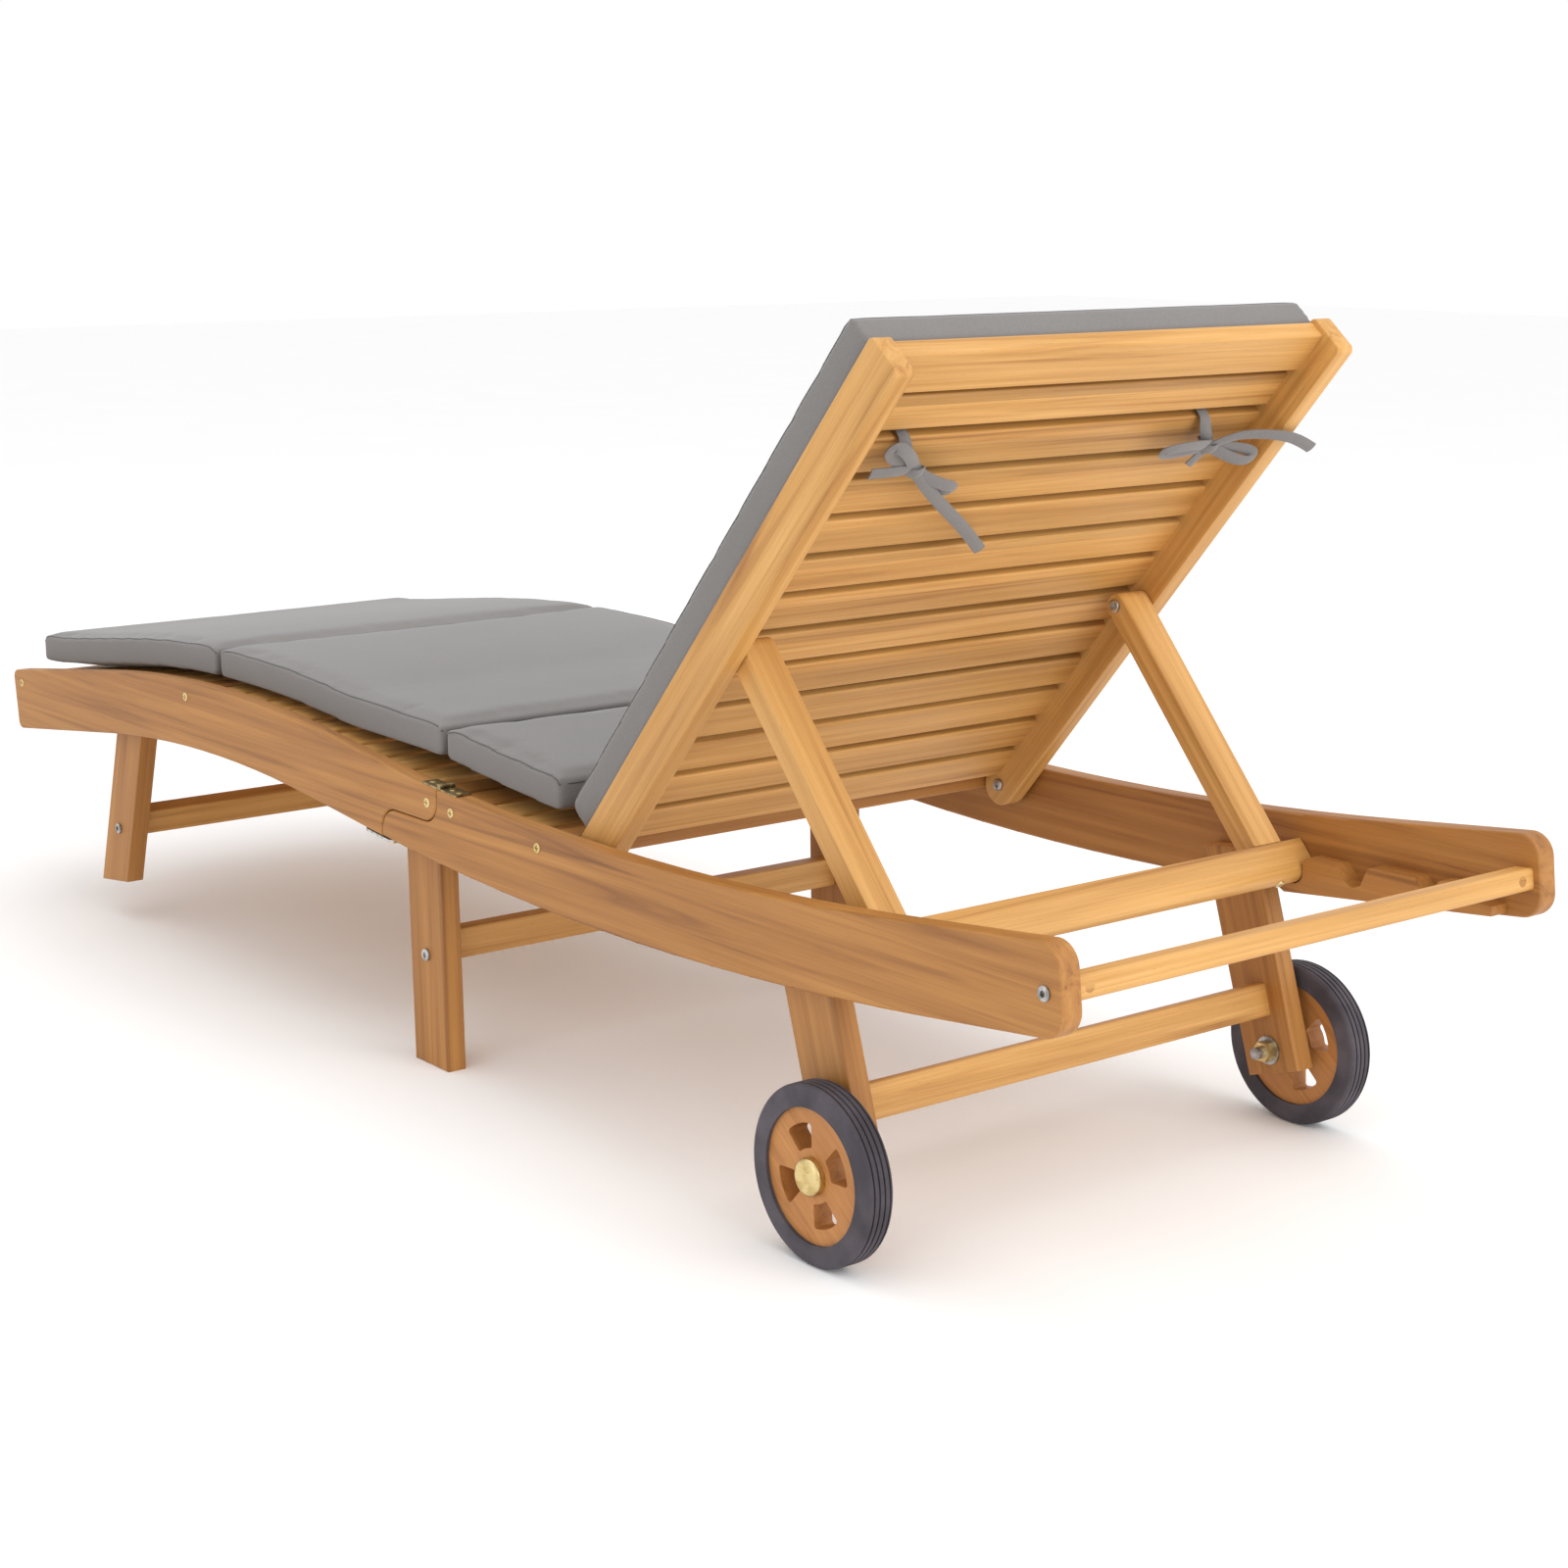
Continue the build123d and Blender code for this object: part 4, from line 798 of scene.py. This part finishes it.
# ---------------------------------------------------------------------------------- prop bar
@dataclass
class PropBar:
    """Bar between the struts whose ends lie in the first notches of the cleats."""

    hinge_reach: float = 506.506 * MM
    hinge_height: float = 495.949 * MM
    start: float = 281.0 * MM
    depth: float = 38.0 * MM
    thick: float = 24.0 * MM
    half_length: float = 277.4 * MM
    edge_round: float = 1.5 * MM

    def make(self) -> bpy.types.Object:
        """Builds the bar, rounded over its lower edge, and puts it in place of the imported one."""
        clear_selection()
        bpy.ops.mesh.primitive_cube_add(size=1.0)
        piece = bpy.context.object
        piece.name = "prop_bar_full"
        piece.scale = (2 * self.half_length, self.depth, self.thick)
        settle(piece)
        activate(piece)
        bpy.ops.object.mode_set(mode="EDIT")
        bpy.ops.mesh.select_all(action="DESELECT")
        bpy.ops.object.mode_set(mode="OBJECT")
        nose = -self.depth / 2
        for edge in piece.data.edges:
            ends = [piece.data.vertices[index].co for index in edge.vertices]
            edge.select = all(abs(end.y - nose) < 1e-6 for end in ends) and abs(ends[0].x - ends[1].x) > 0.1
        bpy.ops.object.mode_set(mode="EDIT")
        bpy.ops.mesh.select_mode(type="EDGE")
        bpy.ops.mesh.bevel(offset=self.thick / 2 - 0.1 * MM, segments=8)
        bpy.ops.object.mode_set(mode="OBJECT")
        soften = piece.modifiers.new("soften", "BEVEL")
        soften.width = self.edge_round
        soften.segments = 3
        soften.limit_method = "ANGLE"
        soften.angle_limit = math.radians(50)
        apply_modifiers(piece)
        middle = self.start + self.depth / 2
        reach = self.hinge_reach + middle * math.cos(PROP_ANGLE)
        height = self.hinge_height - middle * math.sin(PROP_ANGLE)
        direction = Vector((0, -math.cos(PROP_ANGLE), -math.sin(PROP_ANGLE)))
        piece.rotation_mode = "QUATERNION"
        piece.rotation_quaternion = Vector((0, -1, 0)).rotation_difference(direction)
        piece.location = (0, -reach, height)
        settle(piece)
        outward(piece)
        activate(piece)
        bpy.ops.object.shade_smooth_by_angle(angle=math.radians(35))
        piece.data.materials.clear()
        piece.data.materials.append(SLAT_TIMBER.build("oiled_prop_bar", Grain.ACROSS, 4.4))
        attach(piece, "prop_frame")
        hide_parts("prop_bar")
        LOG.info("prop bar: %d faces", len(piece.data.polygons))
        return piece


# ---------------------------------------------------------------------------------- studio
@dataclass
class Studio:
    """Pale floor, soft lights and the camera."""

    camera_place: tuple[float, float, float] = (-1.694, -2.4111, 0.8947)
    camera_yaw: float = math.radians(51.844)
    camera_pitch: float = math.radians(-12.159)
    focal_length: float = 63.477      # millimetres, on a sensor 36 mm wide
    sensor_width: float = 36.0

    def camera(self) -> None:
        """Adds the camera and makes it the scene's own."""
        data = bpy.data.cameras.new("camera")
        data.lens = self.focal_length
        data.sensor_width = self.sensor_width
        data.clip_end = 50
        camera = bpy.data.objects.new("camera", data)
        bpy.context.scene.collection.objects.link(camera)
        level = math.cos(self.camera_pitch)
        look = Vector((level * math.cos(self.camera_yaw), level * math.sin(self.camera_yaw),
                       math.sin(self.camera_pitch)))
        camera.rotation_mode = "QUATERNION"
        camera.rotation_quaternion = look.to_track_quat("-Z", "Y")
        camera.location = self.camera_place
        bpy.context.scene.camera = camera

    def floor(self) -> None:
        """Adds the pale floor with a faint mottle."""
        clear_selection()
        bpy.ops.mesh.primitive_plane_add(size=30)
        floor = bpy.context.object
        floor.name = "floor"
        material, node, shader, place = begin_material("studio_floor")
        mottle = node("ShaderNodeTexNoise", {"Scale": 3.0, "Detail": 2.0}, {"Vector": place})
        tint = node("ShaderNodeMix", {"data_type": "RGBA", 6: linear("FAFAFA"), 7: linear("FDFDFD")},
                    {0: mottle.outputs["Fac"]})
        material.node_tree.links.new(tint.outputs[2], shader.inputs["Base Color"])
        shader.inputs["Roughness"].default_value = 0.9
        floor.data.materials.append(material)

    def lights(self) -> None:
        """Adds broad soft lights and an even white surround."""
        world = bpy.data.worlds.new("surround")
        world.use_nodes = True
        world.node_tree.nodes["Background"].inputs["Color"].default_value = (1, 1, 1, 1)
        world.node_tree.nodes["Background"].inputs["Strength"].default_value = 1.0
        bpy.context.scene.world = world
        for name, place, size, power in (
            ("key", (0.6, -4.4, 2.4), 3.0, 75),
            ("fill", (-3.2, -1.0, 2.0), 3.0, 12),
            ("top", (0.0, 0.4, 4.0), 3.5, 28),
        ):
            data = bpy.data.lights.new(name, "AREA")
            data.size = size
            data.energy = power
            light = bpy.data.objects.new(name, data)
            light.location = place
            light.rotation_mode = "QUATERNION"
            light.rotation_quaternion = (Vector((0, 0, 0.3)) - Vector(place)).to_track_quat("-Z", "Y")
            bpy.context.scene.collection.objects.link(light)
        bpy.context.scene.view_settings.view_transform = "Standard"

    def make(self) -> None:
        """Builds the whole studio."""
        self.camera()
        self.floor()
        self.lights()


# ---------------------------------------------------------------------------------- assembly
RIGHT_BOW = (
    ((0, 0, -6), (-12, 14, -10), (-30, 30, -14), (-42, 36, -12), (-44, 26, -9), (-28, 12, -7), (-6, 0, -6)),
    ((0, 0, -6), (-16, 2, -9), (-34, 1, -9), (-50, 0, -8)),
    ((0, 0, -6), (14, -8, -10), (36, -14, -14), (52, -20, -13), (50, -28, -10), (30, -20, -8), (4, -2, -7)),
    ((2, -2, -8), (20, -18, -12), (56, -46, -12), (100, -78, -11), (140, -112, -9)),
)
LEFT_BOW = (
    ((0, 0, -6), (-20, 8, -12), (-50, 8, -14), (-66, 2, -12), (-54, -6, -9), (-24, -4, -8), (0, -1, -7)),
    ((0, 0, -6), (-8, -9, -9), (-14, -22, -9)),
    ((0, 0, -6), (22, -8, -14), (48, -12, -20), (56, -4, -18), (40, 2, -13), (5, 0, -7)),
    ((2, 1, -8), (14, 16, -12), (36, 24, -18), (62, 28, -26), (86, 24, -30), (108, 14, -32)),
)


@dataclass
class Lounger:
    """The whole lounger: dressed frame, pad, ties and prop bar."""

    tie_x: tuple[float, float] = (-170.0 * MM, 187.0 * MM)

    def make(self) -> None:
        """Builds every piece in order."""
        Timberwork().dress()
        cloth = WovenPolyester().build("polyester_pad")
        back_cloth = WovenPolyester().build("polyester_back", (BACK_ANGLE, 0.0, 0.0))
        thread = WovenPolyester(colour="57534F", shade="4C4946", thread_pitch=1.0 * MM).build("welt_thread")
        Cushion("cushion_foot", "foot_frame", cloth, thread).make()
        Cushion("cushion_knee", "foot_frame", cloth, thread).make()
        Cushion("cushion_seat", "seat_frame", cloth, thread).make()
        Cushion("cushion_back", "backrest", back_cloth, thread, on_backrest=True).make()
        Tie("right", self.tie_x[0], back_cloth, RIGHT_BOW, slot_lean=-17.0).make()
        Tie("left", self.tie_x[1], back_cloth, LEFT_BOW, slot_lean=-14.0).make()
        PropBar().make()


def main() -> None:
    """Builds the studio and the lounger."""
    logging.basicConfig(level=logging.INFO, format="%(message)s")
    Studio().make()
    Lounger().make()


if __name__ == "__main__":
    main()
